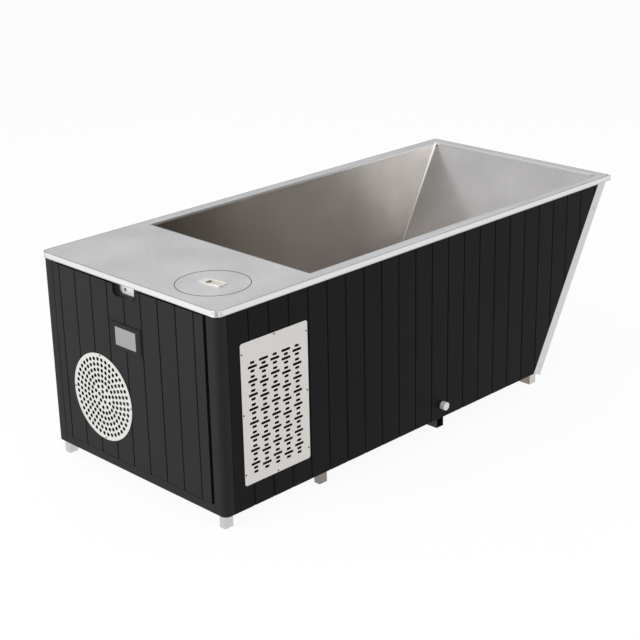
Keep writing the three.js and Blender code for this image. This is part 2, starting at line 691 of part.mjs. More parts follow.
const rearOuter = -TRIM_SHEET - SEAT;
const rearInner = rearOuter - REAR_PLANK;
const rearHalf = yFace - TRIM_SHEET - SEAT;
const rearLength = (zUnder - REAR_TOP_GAP - FOOT_HEIGHT + rearInner * Math.sin(HEAD_SLOPE)) * across;

function rearGroove(y) {
  const open = rearOuter + OVERCUT;
  const outline = [[open, y - grooveMouth], [open, y + grooveMouth], [rearOuter - GROOVE_DEPTH, y]];
  return prism('z', outline, -OVERCUT, rearLength + OVERCUT);
}

const rearGrooves = [];
for (let y = PLANK_PITCH / 2; y < rearHalf - TRIM_LEG; y += PLANK_PITCH) {
  rearGrooves.push(rearGroove(y), rearGroove(-y));
}
add('rear_cladding', cut(box(rearInner, rearOuter, -rearHalf, rearHalf, 0, rearLength), ...rearGrooves),
  blackPlank, [0, 0, 0], head);

// Slope trims: an angle on each back edge, level at the top and square at the foot.
const trimFoot = FOOT_HEIGHT - TRIM_DROP;

function trimOutline(leg) {
  const topX = outerX(zCladTop);
  return [
    [outerX(trimFoot), trimFoot], [topX, zCladTop], [topX - leg * across, zCladTop],
    [outerX(trimFoot) - leg / across, trimFoot + leg * Math.sin(HEAD_SLOPE)],
  ];
}

function slopeTrim(side) {
  return join(
    prism('y', trimOutline(TRIM_LEG), ...onSide(side, yFace - TRIM_SHEET, yFace)),
    prism('y', trimOutline(TRIM_SHEET), ...onSide(side, yFace - TRIM_LEG, yFace)),
  );
}

add('slope_trim_left', slopeTrim(1), brushedSteel);
add('slope_trim_right', slopeTrim(-1), brushedSteel);

// Side grille: staggered groups of short, long and short slots under a plain band.
function grilleSlots() {
  const top = grilleZ + GRILLE_SIZE[1] / 2 - GRILLE_BLANK;
  const slots = [];
  const slot = (x, z, length) => slots.push(box(x - length / 2, x + length / 2,
    -yFace - OVERCUT, -yFace, z - SLOT_HEIGHT / 2, z + SLOT_HEIGHT / 2));
  for (let column = 0; column < SLOT_COLUMNS; column++) {
    const x = grilleX + (column - (SLOT_COLUMNS - 1) / 2) * SLOT_COLUMN_PITCH;
    const stagger = column % 2 === 1;
    if (stagger) {
      slot(x, top, SLOT_LONG);
    } else {
      slot(x, top - (SLOT_GROUPS - 1) * SLOT_GROUP_PITCH - 3 * SLOT_ROW_PITCH, SLOT_SHORT);
    }
    for (let group = 0; group < SLOT_GROUPS; group++) {
      const z = top - group * SLOT_GROUP_PITCH - (stagger ? SLOT_ROW_PITCH : 0);
      slot(x, z, SLOT_SHORT);
      slot(x, z - SLOT_ROW_PITCH, SLOT_LONG);
      slot(x, z - 2 * SLOT_ROW_PITCH, SLOT_SHORT);
    }
  }
  return slots;
}

const grilleOutline = roundedRectangle(
  grilleX - GRILLE_SIZE[0] / 2, grilleX + GRILLE_SIZE[0] / 2,
  grilleZ - GRILLE_SIZE[1] / 2, grilleZ + GRILLE_SIZE[1] / 2, GRILLE_CORNER);
add('side_grille', cut(
  prism('y', grilleOutline, -yFace - SEAT - GRILLE_SHEET, -yFace - SEAT),
  ...grilleSlots(),
), brushedSteel);

// Filter hatch: seat ring under the deck, lid with gasket and flush pull, canister and cartridge below.
const seatWall = lidHole + SEAT;
const seatOuter = seatWall + LEDGE_SHEET;
const seatTop = zUnder - SEAT;
const seatFoot = ledgeTop - LEDGE_SHEET;
add('lid_seat', turned('z', [
  [ledgeInner, seatFoot], [seatOuter, seatFoot], [seatOuter, seatTop - LEDGE_SHEET],
  [seatOuter + LID_SEAT_FLANGE, seatTop - LEDGE_SHEET], [seatOuter + LID_SEAT_FLANGE, seatTop],
  [seatWall, seatTop], [seatWall, ledgeTop], [ledgeInner, ledgeTop], [ledgeInner, seatFoot],
]), brushedSteel, [lidX, LID_Y, 0]);

const hatch = new THREE.Group();
hatch.position.set(lidX, LID_Y, 0);
tub.add(hatch);
const cupLength = PULL_LENGTH / 2 - PULL_FLANGE;
const cupWidth = PULL_WIDTH / 2 - PULL_FLANGE;
const lidCut = box(-cupWidth - SEAT, cupWidth + SEAT, -cupLength - SEAT, cupLength + SEAT, 0, HEIGHT + OVERCUT);
add('filter_lid', cut(
  rod('z', LID_RADIUS, HEIGHT - LID_SHEET, HEIGHT, ROUND_LARGE),
  lidCut.rotateZ(PULL_TURN),
), brushedSteel, [0, 0, 0], hatch);
const gasketFoot = ledgeTop + SEAT;
add('lid_gasket',
  ring('z', ledgeInner + GASKET_INSET, LID_RADIUS - GASKET_INSET, gasketFoot, gasketFoot + GASKET),
  rubber, [0, 0, 0], hatch);

const pullFoot = HEIGHT + SEAT;
const pullTop = pullFoot + PULL_RISE;
const cupFloor = HEIGHT - PULL_CUP;
const pullOutline = chamferedRectangle(
  -PULL_WIDTH / 2, PULL_WIDTH / 2, -PULL_LENGTH / 2, PULL_LENGTH / 2, PULL_FLANGE);
const pull = cut(
  join(
    prism('z', pullOutline, pullFoot, pullTop),
    box(-cupWidth, cupWidth, -cupLength, cupLength, cupFloor, pullTop - PULL_RISE / 2),
  ),
  box(PULL_WALL - cupWidth, cupWidth - PULL_WALL, PULL_WALL - cupLength, cupLength - PULL_WALL,
    cupFloor + PULL_WALL, pullFoot),
  box(PULL_WALL - cupWidth, cupWidth - PULL_WALL, PULL_WALL - cupLength, cupLength - PULL_WALL - PULL_LIP,
    cupFloor + PULL_WALL, pullTop + OVERCUT),
);
add('lid_pull', pull, brushedSteel, [0, 0, 0], hatch).rotation.z = PULL_TURN;

const canisterInner = CANISTER_RADIUS - CANISTER_WALL;
const canisterInlet = canisterTop - CANISTER_INLET_DROP;
const portEnd = CANISTER_RADIUS + PORT_LENGTH;
const pipeBore = WATER_PIPE_RADIUS - WATER_PIPE_WALL;
const portRod = (axis, radius, from, z) => rod(axis, radius, from, portEnd, ROUND_PIPE).translate(0, 0, z);
add('filter_canister', cut(
  join(
    turned('z', [
      [0, canisterFoot], [CANISTER_RADIUS, canisterFoot], [CANISTER_RADIUS, canisterTop - CANISTER_WALL],
      [CANISTER_RADIUS + CANISTER_FLANGE, canisterTop - CANISTER_WALL],
      [CANISTER_RADIUS + CANISTER_FLANGE, canisterTop], [canisterInner, canisterTop],
      [canisterInner, canisterFoot + CANISTER_WALL], [0, canisterFoot + CANISTER_WALL],
    ]),
    portRod('x', WATER_PIPE_RADIUS, canisterInner + LAP, canisterInlet),
    portRod('y', WATER_PIPE_RADIUS, canisterInner + LAP, canisterOutlet),
  ),
  rod('x', pipeBore, canisterInner - OVERCUT, portEnd + OVERCUT, ROUND_PIPE).translate(0, 0, canisterInlet),
  rod('y', pipeBore, canisterInner - OVERCUT, portEnd + OVERCUT, ROUND_PIPE).translate(0, 0, canisterOutlet),
), bluePlastic, [lidX, LID_Y, 0]);

const pleatOutline = Array.from({ length: 2 * PLEATS }, (_, i) => {
  const radius = CARTRIDGE_RADIUS - (i % 2) * PLEAT_DEPTH;
  const angle = (Math.PI * i) / PLEATS;
  return [radius * Math.cos(angle), radius * Math.sin(angle)];
});
const cartridgeFoot = canisterFoot + CANISTER_WALL + SEAT;
add('filter_cartridge', prism('z', pleatOutline, cartridgeFoot, cartridgeFoot + CARTRIDGE_HEIGHT,
  [circle(0, 0, CARTRIDGE_CORE, ROUND_PIPE)]), filterPaper, [lidX, LID_Y, 0]);

// Legs, skid and rails.
for (const [name, side] of [['left', 1], ['right', -1]]) {
  const [y0, y1] = onSide(side, legInner, legOuter);
  const middle = xFront + MIDDLE_LEG_X;
  add(`front_${name}_leg`, tube('z', legFront, legBack, y0, y1, 0, zUnder - SEAT), brushedSteel);
  add(`middle_${name}_leg`,
    tube('z', middle, middle + LEG_LENGTH, y0, y1, 0, FOOT_HEIGHT - SEAT), brushedSteel);
  add(`frame_rail_${name}`,
    tube('x', y0, y1, FOOT_HEIGHT, railTop, legBack + SEAT, backRailBack - RAIL_END_GAP), blackPaint);
}
const skidFront = xFront + SKID_X;
const skidHalf = WIDTH / 2 - SKID_INSET;
add('cross_skid',
  tube('y', skidFront, skidFront + SKID_LENGTH, 0, FOOT_HEIGHT - SEAT, -skidHalf, skidHalf), blackPaint);
add('back_rail',
  tube('y', backRailFront, backRailBack, 0, FOOT_HEIGHT - SEAT, -legOuter, legOuter), brushedSteel);
add('header_rail', tube('y', headerFront, headerFront + HEADER_DEPTH, headerTop - HEADER_HEIGHT, headerTop,
  SEAT - legInner, legInner - SEAT), blackPaint);

// Strike plate behind the door's notch.
const strikeFoot = zUnder - STRIKE_DROP;
const strikeHole = circle(STRIKE_HOLE[0], strikeFoot + STRIKE_HOLE[1], STRIKE_HOLE[2], ROUND_PIPE);
add('strike_plate', prism('x', rectangle(...STRIKE_Y, strikeFoot, headerTop),
  strikeFront, strikeFront + STRIKE_SHEET, [strikeHole]), brushedSteel);

// Door pivots: a collared pin in the sill, and a bracket with a pin on the header.
const collarTop = doorFoot - SEAT;
add('bottom_pivot', turned('z', [
  [0, sillTop - PIVOT_EMBED], [PIVOT_RADIUS, sillTop - PIVOT_EMBED], [PIVOT_RADIUS, sillTop + SEAT],
  [PIVOT_COLLAR, sillTop + SEAT], [PIVOT_COLLAR, collarTop], [PIVOT_RADIUS, collarTop],
  [PIVOT_RADIUS, doorFoot + PIVOT_REACH], [0, doorFoot + PIVOT_REACH],
], ROUND_PIPE), brushedSteel, [pivotX, pivotY, 0]);
const pivotPlateFoot = doorTop + DOOR_FOOT_GAP;
const bracketY = [pivotY - PIVOT_PLATE_WIDTH / 2, pivotY + PIVOT_PLATE_WIDTH / 2];
add('top_pivot', join(
  box(pivotX - PIVOT_COLLAR, headerFront - SEAT, ...bracketY, pivotPlateFoot, pivotPlateFoot + PIVOT_PLATE),
  box(strikeFront, headerFront - SEAT, ...bracketY, headerTop - HEADER_HEIGHT, pivotPlateFoot + PIVOT_PLATE),
  rod('z', PIVOT_RADIUS, doorTop - PIVOT_REACH, pivotPlateFoot + PIVOT_PLATE / 2, ROUND_PIPE)
    .translate(pivotX, pivotY, 0),
), brushedSteel);

// Insulation round the well.
const foamSide = wellHalf + WELL_SHEET;
const foamFoot = railTop + SEAT;
const foamFloorTop = wellFloor - WELL_SHEET - SEAT;
const foamTop = wellTop - WELL_SHEET - SEAT;
const sideFoam = [
  [wellFront - WELL_SHEET, foamFoot], [wellX(foamFoot), foamFoot],
  [wellX(foamTop), foamTop], [wellFront - WELL_SHEET, foamTop],
];
const pipeHole = rod('y', DRAIN_PIPE_RADIUS + DRAIN_HOLE_FIT, -yFace, -foamSide + OVERCUT);
add('insulation_left', prism('y', sideFoam, foamSide + SEAT, yFace - PLANK - SEAT), foam);
add('insulation_right', cut(
  prism('y', sideFoam, PLANK + SEAT - yFace, -foamSide - SEAT),
  pipeHole.translate(drainX, 0, drainZ),
), foam);

const foamHeadTop = zUnder - REAR_TOP_GAP;
const foamOuterX = (z) => plankX(z) - SEAT * across;
const drainRoom = DRAIN_CUP_RADIUS + DRAIN_CHANNEL;
add('insulation_base', cut(
  prism('y', [
    [wellFront - WELL_SHEET, foamFoot], [foamOuterX(foamFoot), foamFoot],
    [foamOuterX(foamHeadTop), foamHeadTop], [foamX(foamHeadTop), foamHeadTop],
    [foamX(foamFloorTop), foamFloorTop], [wellFront - WELL_SHEET, foamFloorTop],
  ], -foamSide, foamSide),
  box(drainX - drainRoom, drainX + drainRoom, -foamSide - OVERCUT, DRAIN_Y + drainRoom, 0, wellFloor),
), foam);

const fittingHole = (y, z) =>
  rod('x', FITTING_RADIUS + FITTING_FIT, bayBack - OVERCUT, wellFront).translate(0, y, z);
add('insulation_front', cut(
  box(bayBack, foamBack, SEAT - legInner, legInner - SEAT, bayFloor, foamTop),
  fittingHole(PUMP_Y, pumpZ),
  fittingHole(EXCHANGER_Y, returnZ),
), foam);

// Cooling bay: tray, condenser behind the grille, fan behind the round vent.
add('equipment_tray', box(trayFront, foamBack, -legOuter, legOuter, railTop + SEAT, trayTop), coilMetal);

const coilFront = grilleX - GRILLE_SIZE[0] / 2 - CONDENSER_MARGIN;
const coilBack = grilleX + GRILLE_SIZE[0] / 2 + CONDENSER_MARGIN;
const finSlots = [];
for (let x = coilFront + FIN_PITCH; x < coilBack - FIN_SLOT; x += FIN_PITCH) {
  const from = bayFloor + FIN_PITCH;
  const to = coilTop - FIN_PITCH;
  finSlots.push(box(x, x + FIN_SLOT, -coilOuter - OVERCUT, FIN_SLOT_DEPTH - coilOuter, from, to));
  finSlots.push(box(x, x + FIN_SLOT, -coilInner - FIN_SLOT_DEPTH, OVERCUT - coilInner, from, to));
}
const coilBlock = box(coilFront, coilBack, -coilOuter, -coilInner, bayFloor, coilTop);
add('condenser_coil', cut(coilBlock, ...finSlots), coilMetal);

const fanHalf = fanBore + FAN_RIM;
const armFront = fanBack - FAN_ARM_SHEET;
const fanAcross = fanBore + FAN_RIM / 2;
add('fan_shroud', cut(
  join(
    cut(
      box(fanFront, fanBack, VENT_Y - fanHalf, VENT_Y + fanHalf, bayFloor, ventZ + fanHalf),
      rod('x', fanBore, fanFront - OVERCUT, fanBack + OVERCUT, ROUND_LARGE).translate(0, VENT_Y, ventZ),
    ),
    box(armFront, fanBack, VENT_Y - fanAcross, VENT_Y + fanAcross, ventZ - FAN_ARM / 2, ventZ + FAN_ARM / 2),
    box(armFront, fanBack, VENT_Y - FAN_ARM / 2, VENT_Y + FAN_ARM / 2, ventZ - fanAcross, ventZ + fanAcross),
    rod('x', FAN_HUB_RADIUS, armFront, fanBack).translate(0, VENT_Y, ventZ),
  ),
  rod('x', SHAFT_HOLE, fanFront, fanBack + OVERCUT).translate(0, VENT_Y, ventZ),
), blackPlastic);

const hubFront = fanFront + FAN_HUB_GAP;
const hubBack = armFront - FAN_HUB_GAP;
const shaftTip = hubFront + FAN_HUB_GAP;
add('fan_motor', turned('x', [
  [0, shaftTip], [SHAFT_RADIUS, shaftTip], [SHAFT_RADIUS, fanBack + SEAT], [FAN_MOTOR_RADIUS, fanBack + SEAT],
  [FAN_MOTOR_RADIUS, fanBack + FAN_MOTOR_LENGTH], [0, fanBack + FAN_MOTOR_LENGTH],
], ROUND_SMALL), blackPaint, [0, VENT_Y, ventZ]);

function fanBlade(index) {
  const root = FAN_HUB_RADIUS - OVERCUT;
  const blade = box(-FAN_BLADE_SHEET / 2, FAN_BLADE_SHEET / 2, -FAN_CHORD / 2, FAN_CHORD / 2, root, FAN_RADIUS);
  return blade.rotateZ(FAN_PITCH)
    .translate((hubFront + hubBack) / 2, 0, 0)
    .rotateX((2 * Math.PI * index) / FAN_BLADES);
}

const blades = Array.from({ length: FAN_BLADES }, (_, i) => fanBlade(i));
add('fan_rotor', cut(
  join(rod('x', FAN_HUB_RADIUS, hubFront, hubBack), ...blades),
  rod('x', SHAFT_RADIUS + SHAFT_FIT, shaftTip - SEAT, hubBack + OVERCUT),
), blackPlastic, [0, VENT_Y, ventZ]);

// Compressor on its base plate, with a suction port to the heat exchanger and a discharge port on top.
const shellFoot = bayFloor + COMPRESSOR_BASE_SHEET;
const shellTop = bayFloor + COMPRESSOR_HEIGHT;
const dischargeTop = shellTop + PORT_LENGTH;
const baseHalf = COMPRESSOR_BASE / 2;
const suctionRod = rod('y', GAS_PORT_RADIUS, exchangerLeft + SEAT - COMPRESSOR_Y, 0, ROUND_PIPE);
add('compressor', join(
  turned('z', [
    [0, shellFoot - LAP], [COMPRESSOR_RADIUS, shellFoot - LAP], [COMPRESSOR_RADIUS, shellTop - COMPRESSOR_DOME],
    [COMPRESSOR_RADIUS - COMPRESSOR_DOME, shellTop], [0, shellTop],
  ], ROUND_SMALL),
  box(-baseHalf, baseHalf, -baseHalf, baseHalf, bayFloor, shellFoot),
  suctionRod.translate(0, 0, bayFloor + COMPRESSOR_PORT_HEIGHT),
  rod('z', GAS_PORT_RADIUS, shellTop - COMPRESSOR_DOME, dischargeTop, ROUND_PIPE),
), blackPaint, [compressorX, COMPRESSOR_Y, 0]);

// Heat exchanger with a water port on top.
const exchangerOutline = chamferedRectangle(exchangerBack - EXCHANGER_SIZE[0], exchangerBack,
  exchangerRight, exchangerLeft, EXCHANGER_CHAMFER);
const exchangerPort = rod('z', WATER_PIPE_RADIUS,
  exchangerTop - OVERCUT, exchangerTop + PORT_LENGTH, ROUND_PIPE);
add('heat_exchanger', join(
  prism('z', exchangerOutline, bayFloor, exchangerTop),
  exchangerPort.translate(exchangerX, EXCHANGER_Y, 0),
), whitePlastic);

// Circulation pump: volute, impeller and motor on one level axis.
const outletTop = VOLUTE_RADIUS + PORT_LENGTH;
add('pump_volute', cut(
  join(
    turned('x', [
      [FITTING_BORE, voluteBack + VOLUTE_INLET], [FITTING_RADIUS, voluteBack + VOLUTE_INLET],
      [FITTING_RADIUS, voluteBack], [VOLUTE_RADIUS, voluteBack], [VOLUTE_RADIUS, voluteFront],
      [VOLUTE_RADIUS - VOLUTE_WALL, voluteFront], [VOLUTE_RADIUS - VOLUTE_WALL, voluteBack - VOLUTE_WALL],
      [FITTING_BORE, voluteBack - VOLUTE_WALL], [FITTING_BORE, voluteBack + VOLUTE_INLET],
    ], ROUND_SMALL),
    rod('z', WATER_PIPE_RADIUS, VOLUTE_RADIUS - VOLUTE_WALL / 2, outletTop, ROUND_PIPE)
      .translate(voluteX, 0, 0),
  ),
  rod('z', pipeBore, VOLUTE_RADIUS - 2 * VOLUTE_WALL, outletTop + OVERCUT, ROUND_PIPE).translate(voluteX, 0, 0),
), blackPlastic, [0, PUMP_Y, pumpZ]);

const motorBack = pumpFace - PUMP_MOTOR_LENGTH;
const shaftBore = IMPELLER_SHAFT + SHAFT_FIT;
const footBack = pumpFace - PUMP_FOOT_GAP;
add('pump_motor', join(
  turned('x', [
    [0, pumpFace - IMPELLER_SHAFT_DEPTH - SEAT], [shaftBore, pumpFace - IMPELLER_SHAFT_DEPTH - SEAT],
    [shaftBore, pumpFace], [VOLUTE_RADIUS, pumpFace], [VOLUTE_RADIUS, pumpFace - PUMP_FLANGE],
    [PUMP_MOTOR_RADIUS, pumpFace - PUMP_FLANGE], [PUMP_MOTOR_RADIUS, motorBack], [0, motorBack],
  ], ROUND_SMALL),
  box(footBack - PUMP_FOOT_LENGTH, footBack, -PUMP_FOOT_WIDTH / 2, PUMP_FOOT_WIDTH / 2,
    -PUMP_AXIS, -PUMP_FOOT_TOP),
), blackPaint, [0, PUMP_Y, pumpZ]);

const discFront = voluteFront + IMPELLER_GAP;
const discBack = discFront + IMPELLER_DISC;
const vanes = Array.from({ length: IMPELLER_VANES }, (_, i) =>
  box(discBack - LAP, discBack + IMPELLER_VANE, -IMPELLER_DISC / 2, IMPELLER_DISC / 2,
    FITTING_BORE, IMPELLER_RADIUS - LAP)
    .rotateX((2 * Math.PI * i) / IMPELLER_VANES));
add('pump_impeller', join(
  turned('x', [
    [0, pumpFace - IMPELLER_SHAFT_DEPTH], [IMPELLER_SHAFT, pumpFace - IMPELLER_SHAFT_DEPTH],
    [IMPELLER_SHAFT, discFront], [IMPELLER_RADIUS, discFront], [IMPELLER_RADIUS, discBack], [0, discBack],
  ], ROUND_SMALL),
  ...vanes,
), whitePlastic, [0, PUMP_Y, pumpZ]);

// Water pipes and refrigerant lines.
const canisterPortX = lidX + portEnd + SEAT;
const canisterPortY = LID_Y + portEnd + SEAT;
add('pump_pipe', pipe([
  [voluteX, PUMP_Y, pumpZ + outletTop + SEAT], [voluteX, PUMP_Y, canisterInlet],
  [voluteX, LID_Y, canisterInlet], [canisterPortX, LID_Y, canisterInlet],
], WATER_PIPE_RADIUS, WATER_BEND, pipeBore), whitePlastic);
add('filter_pipe', pipe([
  [lidX, canisterPortY, canisterOutlet], [lidX, EXCHANGER_Y, canisterOutlet],
  [exchangerX, EXCHANGER_Y, canisterOutlet], [exchangerX, EXCHANGER_Y, exchangerTop + PORT_LENGTH + SEAT],
], WATER_PIPE_RADIUS, FILTER_BEND, pipeBore), whitePlastic);
const gasX = bayBack - GAS_BACK;
const gasZ = Math.max(exchangerTop, dischargeTop + GAS_BEND) + GAS_CLEARANCE;
add('hot_gas_line', pipe([
  [compressorX, COMPRESSOR_Y, dischargeTop + SEAT], [compressorX, COMPRESSOR_Y, gasZ],
  [gasX, COMPRESSOR_Y, gasZ], [gasX, SEAT - coilInner, gasZ],
], GAS_PIPE_RADIUS, GAS_BEND), copper);
const liquidX = bayBack - LIQUID_BACK;
const liquidZ = bayFloor + LIQUID_HEIGHT;
const liquidY = exchangerRight - LIQUID_SIDE;
add('liquid_line', pipe([
  [liquidX, SEAT - coilInner, liquidZ], [liquidX, liquidY, liquidZ],
  [exchangerX, liquidY, liquidZ], [exchangerX, exchangerRight - SEAT, liquidZ],
], GAS_PIPE_RADIUS, GAS_BEND), copper);

// Control box on the bay's back wall, and the gland for the power lead.
const controlTop = zUnder - CONTROL_DROP;
add('control_box', prism('x', chamferedRectangle(
  COMPRESSOR_Y - CONTROL_SIZE[1] / 2, COMPRESSOR_Y + CONTROL_SIZE[1] / 2,
  gasZ + CONTROL_RISE, controlTop, CONTROL_CORNER,
), bayBack - SEAT - CONTROL_SIZE[0], bayBack - SEAT), whitePlastic);
const glandInner = yFace - PLANK - SEAT;
const glandNut = glandInner - GLAND_NUT_THICK;
const glandOuter = yFace + SEAT;
add('cable_gland', turned('y', [
  [GLAND_BORE, glandNut], [GLAND_NUT, glandNut], [GLAND_NUT, glandInner],
  [GLAND_THREAD, glandInner], [GLAND_THREAD, glandOuter], [GLAND_NUT, glandOuter],
  [GLAND_NUT, glandOuter + GLAND_COLLAR], [GLAND_DOME, glandOuter + GLAND_REACH],
  [GLAND_BORE, glandOuter + GLAND_REACH], [GLAND_BORE, glandNut],
], ROUND_SMALL), blackPlastic, [glandX, 0, glandZ]);

// Service door: planks on a core, with the hand notch, the vent's airway and the display's cut-out.
function doorOutline(inset) {
  const notch0 = NOTCH_Y - NOTCH_WIDTH / 2;
  const notch1 = NOTCH_Y + NOTCH_WIDTH / 2;
  const top = doorTop - inset;
  return [
    [doorRight + inset, doorFoot + inset], [doorLeft - inset, doorFoot + inset], [doorLeft - inset, top],
    [notch1, top], [notch1, notchFoot + NOTCH_CHAMFER], [notch1 - NOTCH_CHAMFER, notchFoot],
    [notch0 + NOTCH_CHAMFER, notchFoot], [notch0, notchFoot + NOTCH_CHAMFER], [notch0, top],
    [doorRight + inset, top],
  ];
}

const displayHole = rectangle(
  DISPLAY_Y - DISPLAY_BOX[0] / 2 - DISPLAY_FIT, DISPLAY_Y + DISPLAY_BOX[0] / 2 + DISPLAY_FIT,
  displayZ - DISPLAY_BOX[1] / 2 - DISPLAY_FIT, displayZ + DISPLAY_BOX[1] / 2 + DISPLAY_FIT);
const doorHoles = [circle(VENT_Y, ventZ, VENT_AIRWAY, ROUND_LARGE), displayHole];

function doorGroove(y) {
  const open = xFace - OVERCUT;
  const outline = [[open, y - grooveMouth], [xFace + GROOVE_DEPTH, y], [open, y + grooveMouth]];
  return prism('z', outline, doorFoot - OVERCUT, doorTop + OVERCUT);
}

const doorGrooves = [];
for (let y = DOOR_GROOVE_Y; y < doorLeft - GROOVE_WIDTH; y += PLANK_PITCH) {
  doorGrooves.push(doorGroove(y));
}
for (let y = DOOR_GROOVE_Y - PLANK_PITCH; y > doorRight + GROOVE_WIDTH; y -= PLANK_PITCH) {
  doorGrooves.push(doorGroove(y));
}
const pivotBore = (from, to) =>
  rod('z', PIVOT_RADIUS + PIVOT_FIT, from, to, ROUND_PIPE).translate(pivotX, pivotY, 0);
add('door_panel', cut(
  prism('x', doorOutline(0), xFace, xFace + PLANK, doorHoles),
  ...doorGrooves,
  pivotBore(doorFoot - OVERCUT, doorFoot + PIVOT_REACH + SEAT),
  pivotBore(doorTop - PIVOT_REACH - SEAT, doorTop + OVERCUT),
), blackPlank);
add('door_core', prism('x', doorOutline(CORE_INSET), coreFront, coreBack, doorHoles), blackPaint);

// Round vent: a disc with rings of holes.
function ventHoles() {
  return VENT_RING_HOLES.flatMap((count, ringIndex) =>
    circle(VENT_Y, ventZ, ringIndex * VENT_RING_PITCH, count, Math.PI / 2 + VENT_TURN)
      .map(([y, z]) => prism('x', circle(y, z, VENT_HOLE_RADIUS, ROUND_HOLE), xFace - OVERCUT, xFace)));
}

add('round_vent', cut(
  prism('x', circle(VENT_Y, ventZ, VENT_RADIUS, ROUND_LARGE), xFace - SEAT - VENT_SHEET, xFace - SEAT),
  ...ventHoles(),
), brushedSteel);

// Display: a raised housing through the door, with a screen let into its face.
const displayFace = xFace - SEAT - DISPLAY_RISE;
const around = (centre, size, room = 0) => [centre - size / 2 - room, centre + size / 2 + room];
const screenY = DISPLAY_Y + SCREEN_OFFSET[0];
const screenZ = displayZ + SCREEN_OFFSET[1];
add('display_housing', cut(
  join(
    box(displayFace, xFace - SEAT, ...around(DISPLAY_Y, DISPLAY_SIZE[0]), ...around(displayZ, DISPLAY_SIZE[1])),
    box(displayFace + DISPLAY_RISE / 2, xFace + DISPLAY_BOX[2],
      ...around(DISPLAY_Y, DISPLAY_BOX[0]), ...around(displayZ, DISPLAY_BOX[1])),
  ),
  box(displayFace - OVERCUT, displayFace + SCREEN_THICK + 2 * SEAT,
    ...around(screenY, SCREEN_SIZE[0], SCREEN_FIT), ...around(screenZ, SCREEN_SIZE[1], SCREEN_FIT)),
), blackPlastic);
add('display_screen', box(displayFace + SEAT, displayFace + SEAT + SCREEN_THICK,
  ...around(screenY, SCREEN_SIZE[0]), ...around(screenZ, SCREEN_SIZE[1])), screenGlass);

export default tub;
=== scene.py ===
"""Cold plunge tub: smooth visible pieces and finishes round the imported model, in metres."""
import math

import bmesh
import bpy
import numpy as np
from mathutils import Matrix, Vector
from mathutils.geometry import delaunay_2d_cdt


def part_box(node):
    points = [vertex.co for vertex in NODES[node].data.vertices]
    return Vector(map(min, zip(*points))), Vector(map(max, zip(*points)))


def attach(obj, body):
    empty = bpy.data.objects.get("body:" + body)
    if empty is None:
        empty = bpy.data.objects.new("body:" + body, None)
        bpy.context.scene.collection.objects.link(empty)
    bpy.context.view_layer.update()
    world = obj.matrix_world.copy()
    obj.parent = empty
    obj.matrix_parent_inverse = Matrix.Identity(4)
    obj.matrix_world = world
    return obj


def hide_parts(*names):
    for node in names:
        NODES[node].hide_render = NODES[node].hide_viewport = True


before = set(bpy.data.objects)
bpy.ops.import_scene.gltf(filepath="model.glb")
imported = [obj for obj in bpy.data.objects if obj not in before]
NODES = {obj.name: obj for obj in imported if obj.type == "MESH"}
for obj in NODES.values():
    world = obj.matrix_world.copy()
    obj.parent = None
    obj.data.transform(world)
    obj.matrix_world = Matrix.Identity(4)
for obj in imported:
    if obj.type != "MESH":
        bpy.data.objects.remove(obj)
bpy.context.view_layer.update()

# Sizes shared with the solids
SEAT = 0.0003  # gap between pieces that touch
PLATE = 0.0015  # sheet of the vent and the grille
TOP, SKIRT_FOOT = 0.660, 0.642
HALF_LENGTH, HALF_WIDTH = 0.9, 0.395
FRONT_CORNER, BACK_CORNER = 0.023, 0.002
WELL_FRONT, WELL_BACK, WELL_HALF, WELL_FLOOR = -0.514, 0.862, 0.3575, 0.104
SLOPE = math.radians(28.9)  # the head end's lean from upright
LEAN = math.tan(SLOPE)
ACROSS = 1 / math.cos(SLOPE)  # level distance for one unit square to the slope
FACE_X, FACE_Y = -0.8972, 0.3922  # outer faces of the door and the cladding
PLANK_PITCH = 0.076
LID = (-0.749, -0.211)  # x and y of the hatch and the filter
LID_RADIUS = 0.1065
PULL_TURN = math.radians(7)
VENT = (0.139, 0.259)  # y and z of the vent's and the fan's axis
PUMP = (-0.130, 0.1516)  # y and z of the pump's axis
RETURN_Y = 0.06
FILTER_IN, FILTER_OUT = 0.4811, 0.4411  # heights of the filter's ports

# Directions of a piece's local p, q and h axes
UPRIGHT = ((1, 0, 0), (0, 1, 0), (0, 0, 1))
ALONG_X = ((0, 1, 0), (0, 0, 1), (1, 0, 0))
OUT_FRONT = ((0, -1, 0), (0, 0, 1), (-1, 0, 0))
OUT_RIGHT = ((1, 0, 0), (0, 0, 1), (0, -1, 0))
OUT_LEFT = ((-1, 0, 0), (0, 0, 1), (0, 1, 0))


# Mesh makers

def grid_faces(rows, columns, close_rows):
    """Quads between neighbouring rows and columns; columns always run round, rows close up if asked."""
    down = rows if close_rows else rows - 1
    i, j = np.meshgrid(np.arange(down), np.arange(columns), indexing="ij")
    i2, j2 = (i + 1) % rows, (j + 1) % columns
    corners = [i * columns + j, i * columns + j2, i2 * columns + j2, i2 * columns + j]
    return np.stack(corners, -1).reshape(-1, 4)


def join_lofts(lofts):
    """Points and faces of lofts, each a (rows, columns, 3) array of rings and whether it closes on itself.

    An open loft gets a flat cap on its first and last ring."""
    points, faces, start = [], [], 0
    for rings, closed in lofts:
        rows, columns, _ = rings.shape
        points.append(rings.reshape(-1, 3))
        faces += (grid_faces(rows, columns, closed) + start).tolist()
        if not closed:
            faces.append((start + np.arange(columns)[::-1]).tolist())
            faces.append((start + (rows - 1) * columns + np.arange(columns)).tolist())
        start += rows * columns
    return np.concatenate(points), faces


